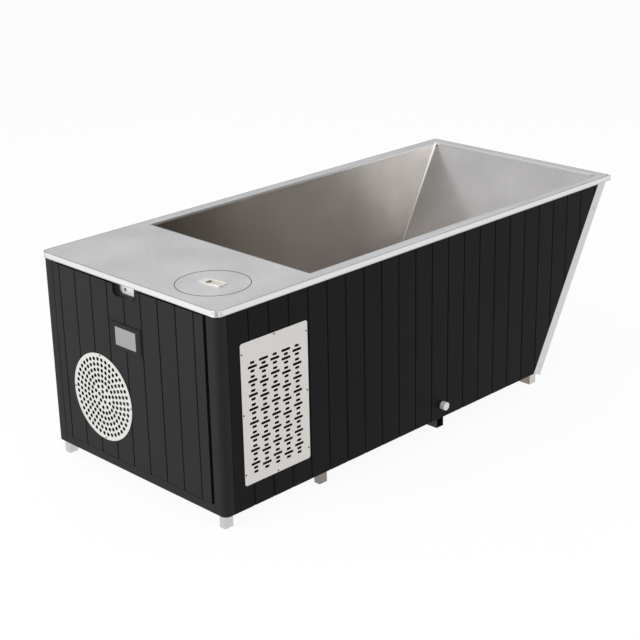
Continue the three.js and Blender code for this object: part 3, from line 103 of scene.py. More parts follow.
def make_piece(name, shape, body, finish, stands_for=(), edge=0.0, crease=38):
    """One mesh, its faces turned outwards, from a list of lofts or a pierced sheet's points and faces.

    Edges sharper than the crease, in degrees, stay sharp, and edge is the width of a live bevel."""
    points, faces = shape if isinstance(shape, tuple) else join_lofts(shape)
    mesh = bpy.data.meshes.new(name)
    mesh.from_pydata(points.tolist(), [], faces)
    shell = bmesh.new()
    shell.from_mesh(mesh)
    bmesh.ops.remove_doubles(shell, verts=shell.verts, dist=1e-6)
    bmesh.ops.recalc_face_normals(shell, faces=shell.faces)
    shell.to_mesh(mesh)
    shell.free()
    mesh.shade_smooth()
    mesh.set_sharp_from_angle(angle=math.radians(crease))
    piece = bpy.data.objects.new(name, mesh)
    bpy.context.collection.objects.link(piece)
    mesh.materials.append(finish)
    if edge:
        round_edges(piece, edge)
    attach(piece, body)
    if stands_for:
        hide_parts(*stands_for)


def round_edges(piece, width):
    """A live bevel on every edge sharper than 40 degrees."""
    bevel = piece.modifiers.new("edge", "BEVEL")
    bevel.width = width
    bevel.segments = 2
    bevel.limit_method = "ANGLE"
    bevel.angle_limit = math.radians(40)


def soften(node, width):
    """Joins a solid's loose triangles into whole faces, then rounds their edges, all by live modifiers."""
    piece = NODES[node]
    piece.modifiers.new("weld", "WELD").merge_threshold = 1e-5
    whole = piece.modifiers.new("whole", "DECIMATE")
    whole.decimate_type = "DISSOLVE"
    whole.angle_limit = math.radians(1)
    round_edges(piece, width)


def stand(points, origin, axes):
    """Carries local (p, q, h) points to the origin given plus p, q and h times the three axes."""
    return np.asarray(origin) + points @ np.array(axes, float)


def turned(profile, origin, axes, sides=48, closed=False):
    """A loft of (r, h) pairs turned once round the h axis: rings (r cos t, r sin t, h)."""
    r, h = np.array(profile, float).T[:, :, None]
    t = np.linspace(0, 2 * np.pi, sides, endpoint=False)
    rings = np.stack([r * np.cos(t), r * np.sin(t), h + 0 * t], -1)
    return stand(rings, origin, axes), closed


def rounded_rings(x0, x1, y0, y1, z, r, steps=9):
    """Rings of a rounded rectangle: a quarter circle about a centre set in by its radius at each corner.

    Each argument is one number or one per ring. The radius may also be one per corner, anticlockwise
    from (+x, +y)."""
    sides = [np.atleast_1d(np.asarray(v, float)) for v in (x0, x1, y0, y1, z)]
    x0, x1, y0, y1, z = np.broadcast_arrays(*sides)
    r = np.asarray(r, float)
    r = np.broadcast_to(r[:, None] if r.ndim == 1 else r, (len(z), 4))
    cx = np.stack([x1 - r[:, 0], x0 + r[:, 1], x0 + r[:, 2], x1 - r[:, 3]], 1)
    cy = np.stack([y1 - r[:, 0], y1 - r[:, 1], y0 + r[:, 2], y0 + r[:, 3]], 1)
    t = np.arange(4)[:, None] * np.pi / 2 + np.linspace(0, np.pi / 2, steps)
    x = cx[:, :, None] + r[:, :, None] * np.cos(t)
    y = cy[:, :, None] + r[:, :, None] * np.sin(t)
    return np.stack([x, y, z[:, None, None] + 0 * x], -1).reshape(len(z), -1, 3)


def block(x0, x1, y0, y1, z0, z1, r):
    """A loft of a rounded rectangle from z0 to z1."""
    return rounded_rings(x0, x1, y0, y1, [z0, z1], r, 5), False


def box_reach(t, a0, a1, b0, b1):
    """Distance from the origin to a rectangle's side in the direction t: the nearest of its four sides."""
    c, s = np.cos(t), np.sin(t)
    with np.errstate(divide="ignore"):
        along = np.where(c > 0, a1 / c, a0 / c)
        up = np.where(s > 0, b1 / s, b0 / s)
    return np.minimum(np.abs(along), np.abs(up))


def star_rings(t, reaches, heights):
    """Rings (reach cos t, reach sin t, height) from one array of reaches, or one number, per ring."""
    reach = np.stack([np.broadcast_to(r, t.shape) for r in reaches])
    h = np.asarray(heights, float)[:, None] + 0 * reach
    return np.stack([reach * np.cos(t), reach * np.sin(t), h], -1)


def bent_path(corners, bend, steps=10):
    """Straight runs between corners, each corner eased by a parabola that starts and ends a bend away."""
    corners = np.array(corners, float)
    ahead = np.diff(corners, axis=0)
    ahead /= np.linalg.norm(ahead, axis=1)[:, None]
    enter = corners[1:-1] - bend * ahead[:-1]
    leave = corners[1:-1] + bend * ahead[1:]
    u = np.linspace(0, 1, steps)[None, :, None]
    curves = (1 - u) ** 2 * enter[:, None] + 2 * u * (1 - u) * corners[1:-1, None] + u ** 2 * leave[:, None]
    return np.concatenate([corners[:1], curves.reshape(-1, 3), corners[-1:]])


def pipe_rings(path, radius, sides=20):
    """Circles square to a path: the first direction is tangent x (1, 1, 1), which no run here follows."""
    ahead = np.gradient(path, axis=0)
    ahead /= np.linalg.norm(ahead, axis=1)[:, None]
    first = np.cross(ahead, [1.0, 1.0, 1.0])
    first /= np.linalg.norm(first, axis=1)[:, None]
    second = np.cross(ahead, first)
    t = np.linspace(0, 2 * np.pi, sides, endpoint=False)[None, :, None]
    return path[:, None] + radius * (np.cos(t) * first[:, None] + np.sin(t) * second[:, None])


def pierced_sheet(outline, holes, sides=12):
    """A flat sheet with slots (u, v, half length, radius), each loop one radius from its middle line.

    Both faces are a triangulation of all the loops, less the triangles whose middle lies in a slot, and
    a wall joins each open edge of one face to the other."""
    inside = 0.955  # share of the radius that the loop's flat sides always hold
    u, v, half, radius = np.array(holes, float).T
    t = (np.arange(sides) + 0.5) * 2 * np.pi / sides
    loops = np.stack([u[:, None] + half[:, None] * np.sign(np.cos(t)) + radius[:, None] * np.cos(t),
                      v[:, None] + radius[:, None] * np.sin(t)], -1)
    spots = np.concatenate([outline, loops.reshape(-1, 2)])
    ring = np.arange(len(outline))
    round_sheet = np.stack([ring, np.roll(ring, -1)], 1)
    first = len(outline) + sides * np.arange(len(holes))[:, None]
    turn = np.arange(sides)
    round_slots = np.stack([first + turn, first + np.roll(turn, -1)], -1).reshape(-1, 2)
    edges = np.concatenate([round_sheet, round_slots]).tolist()
    spots, _, faces, *_ = delaunay_2d_cdt(list(map(Vector, spots.tolist())), edges, [], 0, 1e-7)
    spots, faces = np.array(list(map(tuple, spots))), np.array(faces)
    middle = spots[faces].mean(1)[:, None]
    past = np.maximum(np.abs(middle[..., 0] - u) - half, 0)
    faces = faces[(np.hypot(past, middle[..., 1] - v) > inside * radius).all(1)]
    count = len(spots)
    pairs = np.concatenate([faces[:, [0, 1]], faces[:, [1, 2]], faces[:, [2, 0]]])
    rim = pairs[~np.isin(pairs @ [count, 1], pairs @ [1, count])]
    walls = np.stack([rim[:, 1], rim[:, 0], rim[:, 0] + count, rim[:, 1] + count], 1)
    points = np.concatenate([np.c_[spots, np.zeros(count)], np.c_[spots, np.full(count, PLATE)]])
    return points, faces[:, ::-1].tolist() + (faces + count).tolist() + walls.tolist()


# Finishes

class Socket:
    """A node's output. Arithmetic on it adds Math nodes, also where a plain number comes first."""

    def __init__(self, look, link):
        self.look = look
        self.link = link

    def _math(self, operation, a, b=0.0):
        return self.look.node("ShaderNodeMath", {"operation": operation}, {0: a, 1: b})

    def __add__(self, other):
        return self._math("ADD", self, other)

    __radd__ = __add__

    def __sub__(self, other):
        return self._math("SUBTRACT", self, other)

    def __rsub__(self, other):
        return self._math("SUBTRACT", other, self)

    def __mul__(self, other):
        return self._math("MULTIPLY", self, other)

    __rmul__ = __mul__

    def __truediv__(self, other):
        return self._math("DIVIDE", self, other)

    def __rtruediv__(self, other):
        return self._math("DIVIDE", other, self)

    def __pow__(self, other):
        return self._math("POWER", self, other)

    def __rpow__(self, other):
        return self._math("POWER", other, self)

    def floor(self):
        return self._math("FLOOR", self)

    def size(self):
        return self._math("ABSOLUTE", self)

    def most(self, other):
        return self._math("MAXIMUM", self, other)


class Look:
    """One finish: constant sockets are set on its shader, and feed() links what varies."""

    def __init__(self, name, **constants):
        self.material = bpy.data.materials.new(name)
        self.material.use_nodes = True
        self.tree = self.material.node_tree
        self.shader = self.tree.nodes["Principled BSDF"]
        for socket, value in constants.items():
            self.shader.inputs[socket.replace("_", " ")].default_value = value

    def node(self, kind, settings=(), sockets=(), out=0):
        """Any node: its settings first, then the values or links of its sockets."""
        made = self.tree.nodes.new(kind)
        for key, value in dict(settings).items():
            setattr(made, key, value)
        for key, value in dict(sockets).items():
            if isinstance(value, Socket):
                self.tree.links.new(value.link, made.inputs[key])
            else:
                made.inputs[key].default_value = value
        return Socket(self, made.outputs[out])

    def feed(self, **sockets):
        """Links what varies to the shader's sockets."""
        for key, value in sockets.items():
            self.tree.links.new(value.link, self.shader.inputs[key.replace("_", " ")])

    def spot(self):
        """Object coordinates."""
        return self.node("ShaderNodeTexCoord", (), (), "Object")

    def along(self, axis):
        """One Object coordinate: 0 is x, 1 is y and 2 is z."""
        return self.node("ShaderNodeSeparateXYZ", (), {"Vector": self.spot()}, axis)

    def noise(self, scale, detail, stretch=(1, 1, 1)):
        """Noise on stretched Object coordinates."""
        place = self.node("ShaderNodeMapping", (), {"Vector": self.spot(), "Scale": stretch})
        return self.node("ShaderNodeTexNoise", (), {"Vector": place, "Scale": scale, "Detail": detail})

    def mix(self, factor, a, b):
        """A colour between two colours."""
        return self.node("ShaderNodeMix", {"data_type": "RGBA"}, {0: factor, 6: a, 7: b}, 2)

    def tones(self, factor, colour, first, last):
        """A colour's tones, from first times it to last times it."""
        return self.mix(factor, shade(colour, first), shade(colour, last))

    def bump(self, height, strength, distance):
        """A normal that follows a height."""
        return self.node("ShaderNodeBump", (), {"Strength": strength, "Distance": distance, "Height": height})


def shade(colour, k):
    """A colour times k, solid."""
    return (colour[0] * k, colour[1] * k, colour[2] * k, 1)


def brushed(name, colour, rough, stretch, contrast):
    """Brushed sheet: long fine streaks over slow clouds move the tone, gloss and surface a little."""
    look = Look(name, Metallic=1.0)
    streak = look.noise(1.0, 4, stretch)
    cloud = look.noise(2.6, 3)
    look.feed(Base_Color=look.tones(streak * 0.5 + cloud * 0.5, colour, 1 - 2 * contrast, 1 + 2 * contrast),
              Roughness=streak * 0.12 + cloud * 0.08 + (rough - 0.10),
              Normal=look.bump(streak, 0.06, 0.0002))
    return look.material


def deck_look(colour):
    """Brushed deck with cloudy handling marks, painted reflection streaks on the corners and a painted dark
    reflection line where the sheet turns down.

    The way in from the rounded outline is the corner radius less the length of what both edge distances
    lack of it."""
    line, dark_reflection = 0.0022, (0.10, 0.10, 0.10, 1)
    look = Look("deck_steel", Metallic=1.0)
    streak = look.noise(1.0, 4, (6, 800, 800))
    cloud = look.noise(6.0, 5)
    lack_x = (look.along(0).size() + (FRONT_CORNER - HALF_LENGTH)).most(0.0)
    lack_y = (look.along(1).size() + (FRONT_CORNER - HALF_WIDTH)).most(0.0)
    inset = FRONT_CORNER - (lack_x * lack_x + lack_y * lack_y) ** 0.5
    # painted reflection: a dark line along the rounded top edge, where the bend would mirror something dark
    edge_reflection = ((inset - line).size() * (-1 / line) + 1.0).most(0.0)
    on_skirt = (look.along(2) * -1.0 + (TOP - 0.002)) * 1000.0
    top = look.tones(streak * 0.25 + cloud * 0.4 + look.noise(55.0, 3) * 0.35, colour, 0.78, 1.22)
    # painted reflection: upright light and dark streaks on the skirt's rounded corners
    reflection_streak = look.noise(1.0, 1, (120, 120, 2)) - 0.42
    skirt = look.tones(lack_x * lack_y * 8000.0 * reflection_streak * 4.0, colour, 1.12, 0.66)
    look.feed(Base_Color=look.mix(edge_reflection, look.mix(on_skirt, top, skirt), dark_reflection),
              Roughness=streak * 0.10 + cloud * 0.16 + 0.22,
              Normal=look.bump(streak, 0.05, 0.0002))
    return look.material


def well_look(foot, middle, head):
    """Brushed well: three tones met one after another under fine streaks, as painted shade and painted
    reflection.

    The way from foot to head is x with height and clouds added, held back beside the left wall, so the
    sheet carries painted shade, darkest low at the foot of that wall, and a painted reflection, palest high
    at the head."""
    foot_start, foot_run = -0.543, 0.55
    head_start, head_run = 0.177, 1.1
    look = Look("well_steel_painted_light", Metallic=1.0)
    streak = look.noise(1.0, 4, (8, 900, 900))
    cloud = look.noise(3.2, 4)
    # painted shade: darker beside the left wall, and paler with height as a painted reflection
    beside = (look.along(1) - 0.25).most(0.0)
    way = look.along(0) + cloud * 0.24 + look.along(2) * 0.7 - beside * 5.0
    upper = look.mix((way - head_start) / head_run, shade(middle, 1), shade(head, 1))
    tone = look.mix((way - foot_start) / foot_run, shade(foot, 1), upper)
    darker = look.mix(0.2, tone, (0, 0, 0, 1))
    look.feed(Base_Color=look.mix(streak * 0.4 + (cloud - 0.4) * 2.2, darker, tone),
              Roughness=streak * 0.08 + cloud * 0.10 + 0.13,
              Normal=look.bump(streak, 0.02, 0.0002))
    return look.material


def planked(name, colour, axis, first, grain, grooved=True, gloss=0.12):
    """Stained plank: each plank's own tone from its number along the axis, fine grain along its length.

    The groove is darker, where the place along the axis comes near a whole number of planks."""
    look = Look(name, Specular_IOR_Level=gloss)
    planks = (look.along(axis) - first) / PLANK_PITCH
    number = planks.floor()
    own = look.node("ShaderNodeTexWhiteNoise", {"noise_dimensions": "1D"}, {"W": number}, "Value")
    fine = look.noise(1.0, 5, grain)
    cloud = look.noise(5.0, 3)
    stained = look.tones(own * 0.35 + fine * 0.4 + cloud * 0.25, colour, 0.72, 1.3)
    if grooved:
        from_middle = (planks - number - 0.5).size()
        stained = look.mix((from_middle - 0.46) * 60.0, stained, shade(colour, 0.1))
    look.feed(Base_Color=stained,
              Roughness=fine * 0.14 + own * 0.05 + cloud * 0.08 + 0.36,
              Normal=look.bump(fine * 0.7 + cloud * 0.3, 0.12, 0.0004))
    return look.material


def moulded(name, colour, rough, grain=900, relief=0.08, metallic=0.0, contrast=0.06, gloss=0.5):
    """Moulded or painted surface: a fine pebble in the gloss and surface over slow clouds of tone."""
    look = Look(name, Metallic=metallic, Specular_IOR_Level=gloss)
    pebble = look.noise(grain, 2)
    cloud = look.noise(9.0, 3)
    look.feed(Base_Color=look.tones(pebble * 0.4 + cloud * 0.6, colour, 1 - 2 * contrast, 1 + 2 * contrast),
              Roughness=pebble * 0.1 + cloud * 0.1 + (rough - 0.1),
              Normal=look.bump(pebble, relief, 0.0003))
    return look.material


def screen_look():
    """Display cover: a fine cell grid under a glossy coat, paler towards its upper edge as a painted
    reflection.
    """
    low_grey, high_grey = (0.205, 0.206, 0.212, 1), (0.23, 0.231, 0.238, 1)
    cell_grey = (0.20, 0.202, 0.208, 1)
    look = Look("display_cover", Roughness=0.25, Coat_Weight=0.15)
    face = look.node("ShaderNodeMapping", (), {"Vector": look.spot(), "Rotation": (0, math.pi / 2, 0)})
    cells = look.node("ShaderNodeTexBrick", {"offset": 0.0}, {
        "Vector": face, "Scale": 420.0, "Mortar Size": 0.03, "Color1": (1, 1, 1, 1),
        "Color2": (0.96, 0.96, 0.96, 1), "Mortar": (0.8, 0.8, 0.8, 1)}, 1)
    # painted reflection: paler towards the upper edge
    base = look.mix((look.along(2) - 0.45) * 9.0, low_grey, high_grey)
    look.feed(Base_Color=look.mix(cells * 0.12, base, cell_grey))
    return look.material


DECK_STEEL = deck_look((0.69, 0.69, 0.695))
SIDE_STEEL = brushed("trim_steel", (0.64, 0.635, 0.625), 0.34, (420, 420, 6), 0.04)
LEG_STEEL = brushed("leg_steel", (0.60, 0.585, 0.57), 0.34, (420, 420, 6), 0.04)
# painted shade: a darker copy of the leg steel, for the middle legs and the back rail under the tub
PAINTED_SHADE_STEEL = brushed("leg_steel_painted_shade", (0.27, 0.235, 0.205), 0.34, (420, 420, 6), 0.06)
RIM_STEEL = brushed("rim_steel", (0.62, 0.62, 0.62), 0.30, (300, 300, 300), 0.02)
# painted shade and reflection: the well's foot, middle and head tones, darkest at the foot and palest at the
# head
WELL_PAINTED_LIGHT_STEEL = well_look((0.26, 0.242, 0.226), (0.58, 0.542, 0.505), (0.80, 0.785, 0.77))
SHEET_STEEL = brushed("sheet_steel", (0.675, 0.655, 0.63), 0.40, (300, 300, 5), 0.03)
VENT_STEEL = brushed("vent_steel", (0.74, 0.73, 0.70), 0.40, (300, 300, 5), 0.03)
PULL_CREAM = moulded("pull_cream", (0.62, 0.61, 0.55), 0.38, 800, 0.05, metallic=0.2, contrast=0.03)
STRIKE_ZINC = moulded("strike_zinc", (0.78, 0.78, 0.77), 0.38, 700, 0.05, metallic=0.35, contrast=0.04)
CAP_ZINC = moulded("cap_zinc", (0.70, 0.71, 0.74), 0.36, 700, 0.05, metallic=0.25, contrast=0.04)
# the screws are real parts; their near-black tone is painted shade for the dark spots at the screws
SCREW_PAINTED_SHADE = moulded("screw_steel_painted_shade", (0.06, 0.06, 0.06), 0.35, 900, 0.05, metallic=1.0)
# painted shade: the side and rear planks are a darker copy of the door's plank colour
SHADED_SIDE_PLANK = planked("side_plank_painted_shade", (0.0029, 0.0030, 0.0034), 0, -0.8619, (150, 150, 4), gloss=0.10)
DOOR_PLANK = planked("door_plank", (0.0118, 0.0119, 0.0130), 1, 0.009, (150, 150, 4))
POST_PLANK = planked("post_plank", (0.0118, 0.0119, 0.0130), 1, 0.009, (150, 150, 4), grooved=False)
SHADED_REAR_PLANK = planked("rear_plank_painted_shade", (0.0029, 0.0030, 0.0034), 1, 0.038, (40, 150, 5))
BLACK_PAINT = moulded("black_paint", (0.016, 0.016, 0.017), 0.45, 1200, 0.06)
CORE_BOARD = moulded("core_board", (0.02, 0.019, 0.018), 0.7, 500, 0.2)
BLACK_PLASTIC = moulded("black_plastic", (0.018, 0.018, 0.02), 0.5)
BEZEL_PLASTIC = moulded("bezel_plastic", (0.0105, 0.0105, 0.0115), 0.45, gloss=0.12)
WHITE_PLASTIC = moulded("white_plastic", (0.75, 0.75, 0.72), 0.45, 700, 0.06, contrast=0.03)
BLUE_PLASTIC = moulded("blue_plastic", (0.05, 0.13, 0.28), 0.4, 700, 0.06)
RUBBER = moulded("seal_rubber", (0.02, 0.02, 0.021), 0.8, 1500, 0.15)
FOAM = moulded("foam_board", (0.72, 0.68, 0.56), 0.95, 420, 0.5, contrast=0.08)
PAPER = moulded("filter_paper", (0.82, 0.84, 0.84), 0.95, 1600, 0.3, contrast=0.04)
COPPER = moulded("copper_tube", (0.72, 0.33, 0.17), 0.3, 300, 0.05, metallic=1.0, contrast=0.12)
COIL_METAL = moulded("coil_metal", (0.55, 0.56, 0.57), 0.42, 500, metallic=1.0)
COIL_COAT = moulded("coil_coat", (0.006, 0.006, 0.006), 0.7, 500, gloss=0.1)
SCREEN = screen_look()

# Solids that are shown as they are, by finish, each with the width of its rounded edges, or 0 for none
KEPT = {
    DECK_STEEL: {"top_deck": 0.0007},
    SIDE_STEEL: {"slope_trim_left": 0.0006, "slope_trim_right": 0.0006, "lid_seat": 0, "drain_pipe": 0},
    LEG_STEEL: {"front_left_leg": 0.0012, "front_right_leg": 0.0012},
    PAINTED_SHADE_STEEL: {"middle_left_leg": 0.0012, "middle_right_leg": 0.0012, "back_rail": 0.0012},
    STRIKE_ZINC: {"strike_plate": 0.0003},
    SHADED_SIDE_PLANK: {"cladding_left": 0.0006, "cladding_right": 0.0006},
    DOOR_PLANK: {"door_panel": 0.0006},
    POST_PLANK: {"door_sill": 0.0006},
    SHADED_REAR_PLANK: {"rear_cladding": 0.0006},
    BLACK_PAINT: {"frame_rail_left": 0.0012, "frame_rail_right": 0.0012, "cross_skid": 0.0012,
                  "header_rail": 0.0012, "fan_motor": 0.001, "top_pivot": 0.0004, "bottom_pivot": 0},
    CORE_BOARD: {"door_core": 0.0008},
    BLACK_PLASTIC: {"fan_shroud": 0.001, "cable_gland": 0},
    BEZEL_PLASTIC: {"display_housing": 0.0012},
    SCREEN: {"display_screen": 0.0004},
    FOAM: {"insulation_left": 0.001, "insulation_right": 0.001, "insulation_base": 0.001,
           "insulation_front": 0.001},
    RUBBER: {"lid_gasket": 0, "drain_seal": 0},
    WHITE_PLASTIC: {"heat_exchanger": 0.002, "control_box": 0.0015, "pump_impeller": 0.0005},
    COIL_METAL: {"equipment_tray": 0.0004},
    COIL_COAT: {"condenser_coil": 0.0006},
    PAPER: {"filter_cartridge": 0.0006},
}
for finish, nodes in KEPT.items():
    for node, width in nodes.items():
        NODES[node].data.materials.clear()
        NODES[node].data.materials.append(finish)
        if width:
            soften(node, width)


# The well, its rim and the deck's hem

def well_x(z):
    """The sloped wall's inner face at a height."""
    return WELL_BACK - (TOP - np.asarray(z)) * LEAN


def well_rings(out, back, z, front_fold, head_fold):
    """Rounded rings that lie out from the well's three upright walls, with the head's x given."""
    folds = np.stack(np.broadcast_arrays(head_fold, front_fold, front_fold, head_fold + 0 * z), 1)
    return rounded_rings(WELL_FRONT - out, back, -WELL_HALF - out, WELL_HALF + out, z, folds)


def make_well():
    """A sheet shell: rings climb the inside, cross the lip and go down the outside, 2 mm away.

    The folds at the head are rounded by a radius that grows with the square of the height."""
    sheet, fillet, lip_top, lip = 0.002, 0.006, 0.6577, 0.010
    front_fold, outer_fold = 0.004, 0.006
    turn = np.linspace(0, np.pi / 2, 6)
    z = np.concatenate([WELL_FLOOR + fillet * (1 - np.cos(turn)), np.linspace(0.13, lip_top, 24)])
    inset = np.concatenate([fillet * (1 - np.sin(turn)), np.zeros(24)])
    head_fold = 0.003 + 0.007 * np.clip((z - 0.25) / 0.41, 0, 1) ** 2
    inside = well_rings(-inset, well_x(z) - inset, z, front_fold, head_fold)
    z = np.array([lip_top, lip_top - sheet, lip_top - sheet])
    out = np.array([lip, lip, sheet])
    over = well_rings(out, well_x(lip_top) + out, z, outer_fold, outer_fold)
    z = np.array([0.12, WELL_FLOOR - sheet])
    outside = well_rings(sheet, well_x(z) + sheet * ACROSS, z, outer_fold, outer_fold)
    make_piece("well", [(np.concatenate([inside, over, outside]), False)], "tub", WELL_PAINTED_LIGHT_STEEL,
               ["basin"], crease=50)


def make_well_rim():
    """The deck's edge folded down into the well: a bead of (outward, height) pairs run round the mouth."""
    out = np.array([0.0052, 0.0050, 0.0042, 0.0024, 0.0006, -0.0006, -0.0009, -0.0009, -0.0002, -0.0002])
    z = TOP + np.array([0.0001, 0.0005, 0.0009, 0.0010, 0.0008, 0.0002, -0.0008, -0.0085, -0.0085, 0.0001])
    rings = well_rings(out, well_x(np.minimum(z, TOP)) + out, z, 0.003 + out, 0.021 + out)
    make_piece("well_rim", [(rings, True)], "tub", RIM_STEEL, crease=60)


def make_deck_hem():
    """The skirt's rolled lower edge: a small bead of (outward, height) pairs run round the deck's outline."""
    out = np.array([-0.0006, 0.0003, 0.0008, 0.0010, 0.0008, 0.0003, -0.0006])
    z = SKIRT_FOOT + np.array([0.0, 0.0001, 0.0006, 0.0014, 0.0022, 0.0027, 0.0028])
    front, back = FRONT_CORNER + out, BACK_CORNER + out
    rings = rounded_rings(-HALF_LENGTH - out, HALF_LENGTH + out, -HALF_WIDTH - out, HALF_WIDTH + out, z,
                          np.stack([back, front, front, back], 1))
    make_piece("deck_hem", [(rings, True)], "tub", RIM_STEEL, crease=60)


make_well()
make_well_rim()
make_deck_hem()


# Corner posts

def make_corner(name, side, node):
    """An L section with a round outer edge, carried from the foot of the cladding to its top."""
    bend, wall, front_leg, side_leg = 0.020, 0.011, 0.045, 0.035
    foot, head = 0.044, 0.655
    t = np.linspace(np.pi / 2, np.pi, 15)
    arc = np.stack([bend + bend * np.cos(t), bend * np.sin(t) - bend], 1)
    legs = [[0, -front_leg], [wall, -front_leg], [wall, -wall], [side_leg, -wall], [side_leg, 0]]
    section = (np.concatenate([legs, arc]) + [FACE_X, FACE_Y]) * [1, side]
    rings = np.stack([np.c_[section, np.full(len(section), z)] for z in (foot, head)])
    make_piece(name, [(rings, False)], "tub", POST_PLANK, [node], edge=0.0007, crease=30)


make_corner("corner_post_left", 1, "front_left_corner")
make_corner("corner_post_right", -1, "front_right_corner")


# Filter hatch

def make_hatch_lid():
    """A disc round the pull's cut-out: rings run out under the sheet, round its rim and back over the top."""
    half_wide, half_long = 0.0158, 0.0358
    t = np.linspace(0, 2 * np.pi, 144, endpoint=False)
    hole = box_reach(t - PULL_TURN, -half_wide, half_wide, -half_long, half_long)
    rim = LID_RADIUS - np.array([0.0004, 0, 0, 0.0002, 0.001])
    rings = star_rings(t, [hole, *rim, hole + 0.001, hole],
                       TOP - np.array([0.002, 0.002, 0.0017, 0.0003, 0, 0, 0, 0]))
    make_piece("hatch_lid", [(stand(rings, (*LID, 0), UPRIGHT), True)], "lid", DECK_STEEL,
               ["filter_lid"])


def make_hatch_gap_shade():
    """A thin rubber edge turned round the lid, with a lip that lies on the deck; its black darkens the gap
    round the lid as painted shade.
    """
    seal = [[0.1066, -0.0018], [0.1076, -0.0018], [0.1076, 0.0001],
            [0.1087, 0.0001], [0.1085, 0.0004], [0.1066, 0.0004]]
    make_piece("hatch_gap_shade", [turned(seal, (*LID, TOP), UPRIGHT, 144, True)], "lid", RUBBER)


def make_hatch_pull():
    """A flush cup, (half width, height) pairs of a rolled flange run round it, and a lip for fingertips."""
    longer = 0.020
    x = np.array([0.0155, 0.0155, 0.0190, 0.0190, 0.0187, 0.0180, 0.0146, 0.0138, 0.0135, 0.0135])
    z = np.array([-0.006, 0.0003, 0.0003, 0.0024, 0.0031, 0.0033, 0.0033, 0.0030, 0.0022, -0.004])
    corner = np.array([0.002, 0.002, 0.0035, 0.0035, 0.0033, 0.003, 0.002, 0.0018, 0.0016, 0.0016])
    cup = rounded_rings(-x, x, -x - longer, x + longer, TOP + z, corner, 6)
    lip, _ = block(-0.0139, 0.0139, 0.0195, 0.0338, TOP + 0.0004, TOP + 0.0031, 0.0008)
    c, s = math.cos(PULL_TURN), math.sin(PULL_TURN)
    axes = ((c, s, 0), (-s, c, 0), (0, 0, 1))
    lofts = [(stand(rings, (*LID, 0), axes), False) for rings in (cup, lip)]
    make_piece("hatch_pull", lofts, "lid", PULL_CREAM, ["lid_pull"])


make_hatch_lid()
make_hatch_gap_shade()
make_hatch_pull()


# Vent and grille

def make_vent():
    """A disc with rings of round holes: ring k lies k pitches from the centre and holds its own count."""
    radius, hole, pitch, first = 0.137, 0.0063, 0.01705, math.radians(93)
    counts = np.array([1, 5, 10, 20, 25, 30, 35, 40])
    t = np.linspace(0, 2 * np.pi, 96, endpoint=False)
    rim = radius * np.stack([np.cos(t), np.sin(t)], 1)
    ring = np.repeat(np.arange(len(counts)), counts)
    place = np.arange(counts.sum()) - np.repeat(np.cumsum(counts) - counts, counts)
    turn = first + 2 * np.pi * place / counts[ring]
    reach = pitch * ring
    holes = np.stack([-reach * np.cos(turn), reach * np.sin(turn), 0 * reach, 0 * reach + hole], 1)
    points, faces = pierced_sheet(rim, holes)
    points = stand(points, (FACE_X - SEAT, *VENT), OUT_FRONT)
    make_piece("vent_disc", (points, faces), "door", VENT_STEEL, ["round_vent"])


def make_grille():
    """A plate with round-ended slots, in columns of groups of a short, a long and a short one.

    Every other column starts one row lower, under a long slot, and the rest end with one more short slot."""
    x0, x1, z0, z1, corner = -0.821, -0.565, 0.11625, 0.54475, 0.008
    columns, column_pitch, groups, group_pitch, row_pitch = 5, 0.0425, 8, 0.0418, 0.0127
    radius, short, long = 0.0040, 0.0172, 0.035
    top = z1 - 0.0646
    column, step = np.meshgrid(np.arange(columns), np.arange(groups), indexing="ij")
    x = (x0 + x1) / 2 + (column - columns // 2) * column_pitch
    odd = column % 2
    z = top - step * group_pitch - odd * row_pitch
    slots = [np.stack([x, z - k * row_pitch, 0 * x + length], -1).reshape(-1, 3)
             for k, length in enumerate([short, long, short])]
    last = top - (groups - 1) * group_pitch - 3 * row_pitch
    x, odd = x[:, 0], odd[:, 0]
    ends = np.stack([x, np.where(odd, top, last), np.where(odd, long, short)], -1)
    u, v, length = np.concatenate([*slots, ends]).T
    holes = np.stack([u, v, length / 2 - radius, 0 * u + radius], 1)
    outline = rounded_rings(x0, x1, z0, z1, 0, corner, 7)[0, :, :2]
    points, faces = pierced_sheet(outline, holes)
    points = stand(points, (0, -FACE_Y - SEAT, 0), OUT_RIGHT)
    make_piece("grille_plate", (points, faces), "tub", SHEET_STEEL, ["side_grille"])


make_vent()
make_grille()


# Drain cap and screws

def make_drain_cap():
    """A six-sided cap over a plain bore: its reach is the hexagon's, cut by a cone at both ends."""
    half_flat, bore, cone, cone_end = 0.013, 0.0107, 0.0142, 0.0122
    low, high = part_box("drain_cap")
    centre = ((low[0] + high[0]) / 2, high[1], (low[2] + high[2]) / 2)
    t = np.linspace(0, 2 * np.pi, 96, endpoint=False)
    hexagon = half_flat / np.cos((t + np.pi / 2) % (np.pi / 3) - np.pi / 6)
    cut = np.minimum(hexagon, cone)
    rings = star_rings(t, [bore, bore, 0.0125, cut, hexagon, hexagon, cut, np.minimum(hexagon, cone_end)],
                       [0.0125, 0, 0, 0.001, 0.0018, 0.0155, 0.0168, 0.018])
    make_piece("drain_nut", [(stand(rings, centre, OUT_RIGHT), False)], "drain_cap", CAP_ZINC,
               ["drain_cap"])


def make_screws(name, places, axes, body, radius, finish):
    """Pan-head screws: a low dome with a dished centre, turned at each place."""
    head = [[radius, 0], [radius, 0.0006], [radius * 0.85, 0.0013], [radius * 0.45, 0.0017],
            [radius * 0.36, 0.0009], [radius * 0.1, 0.0009]]
    heads = [turned(head, place, axes, 14) for place in places]
    make_piece(name, heads, body, finish, crease=50)


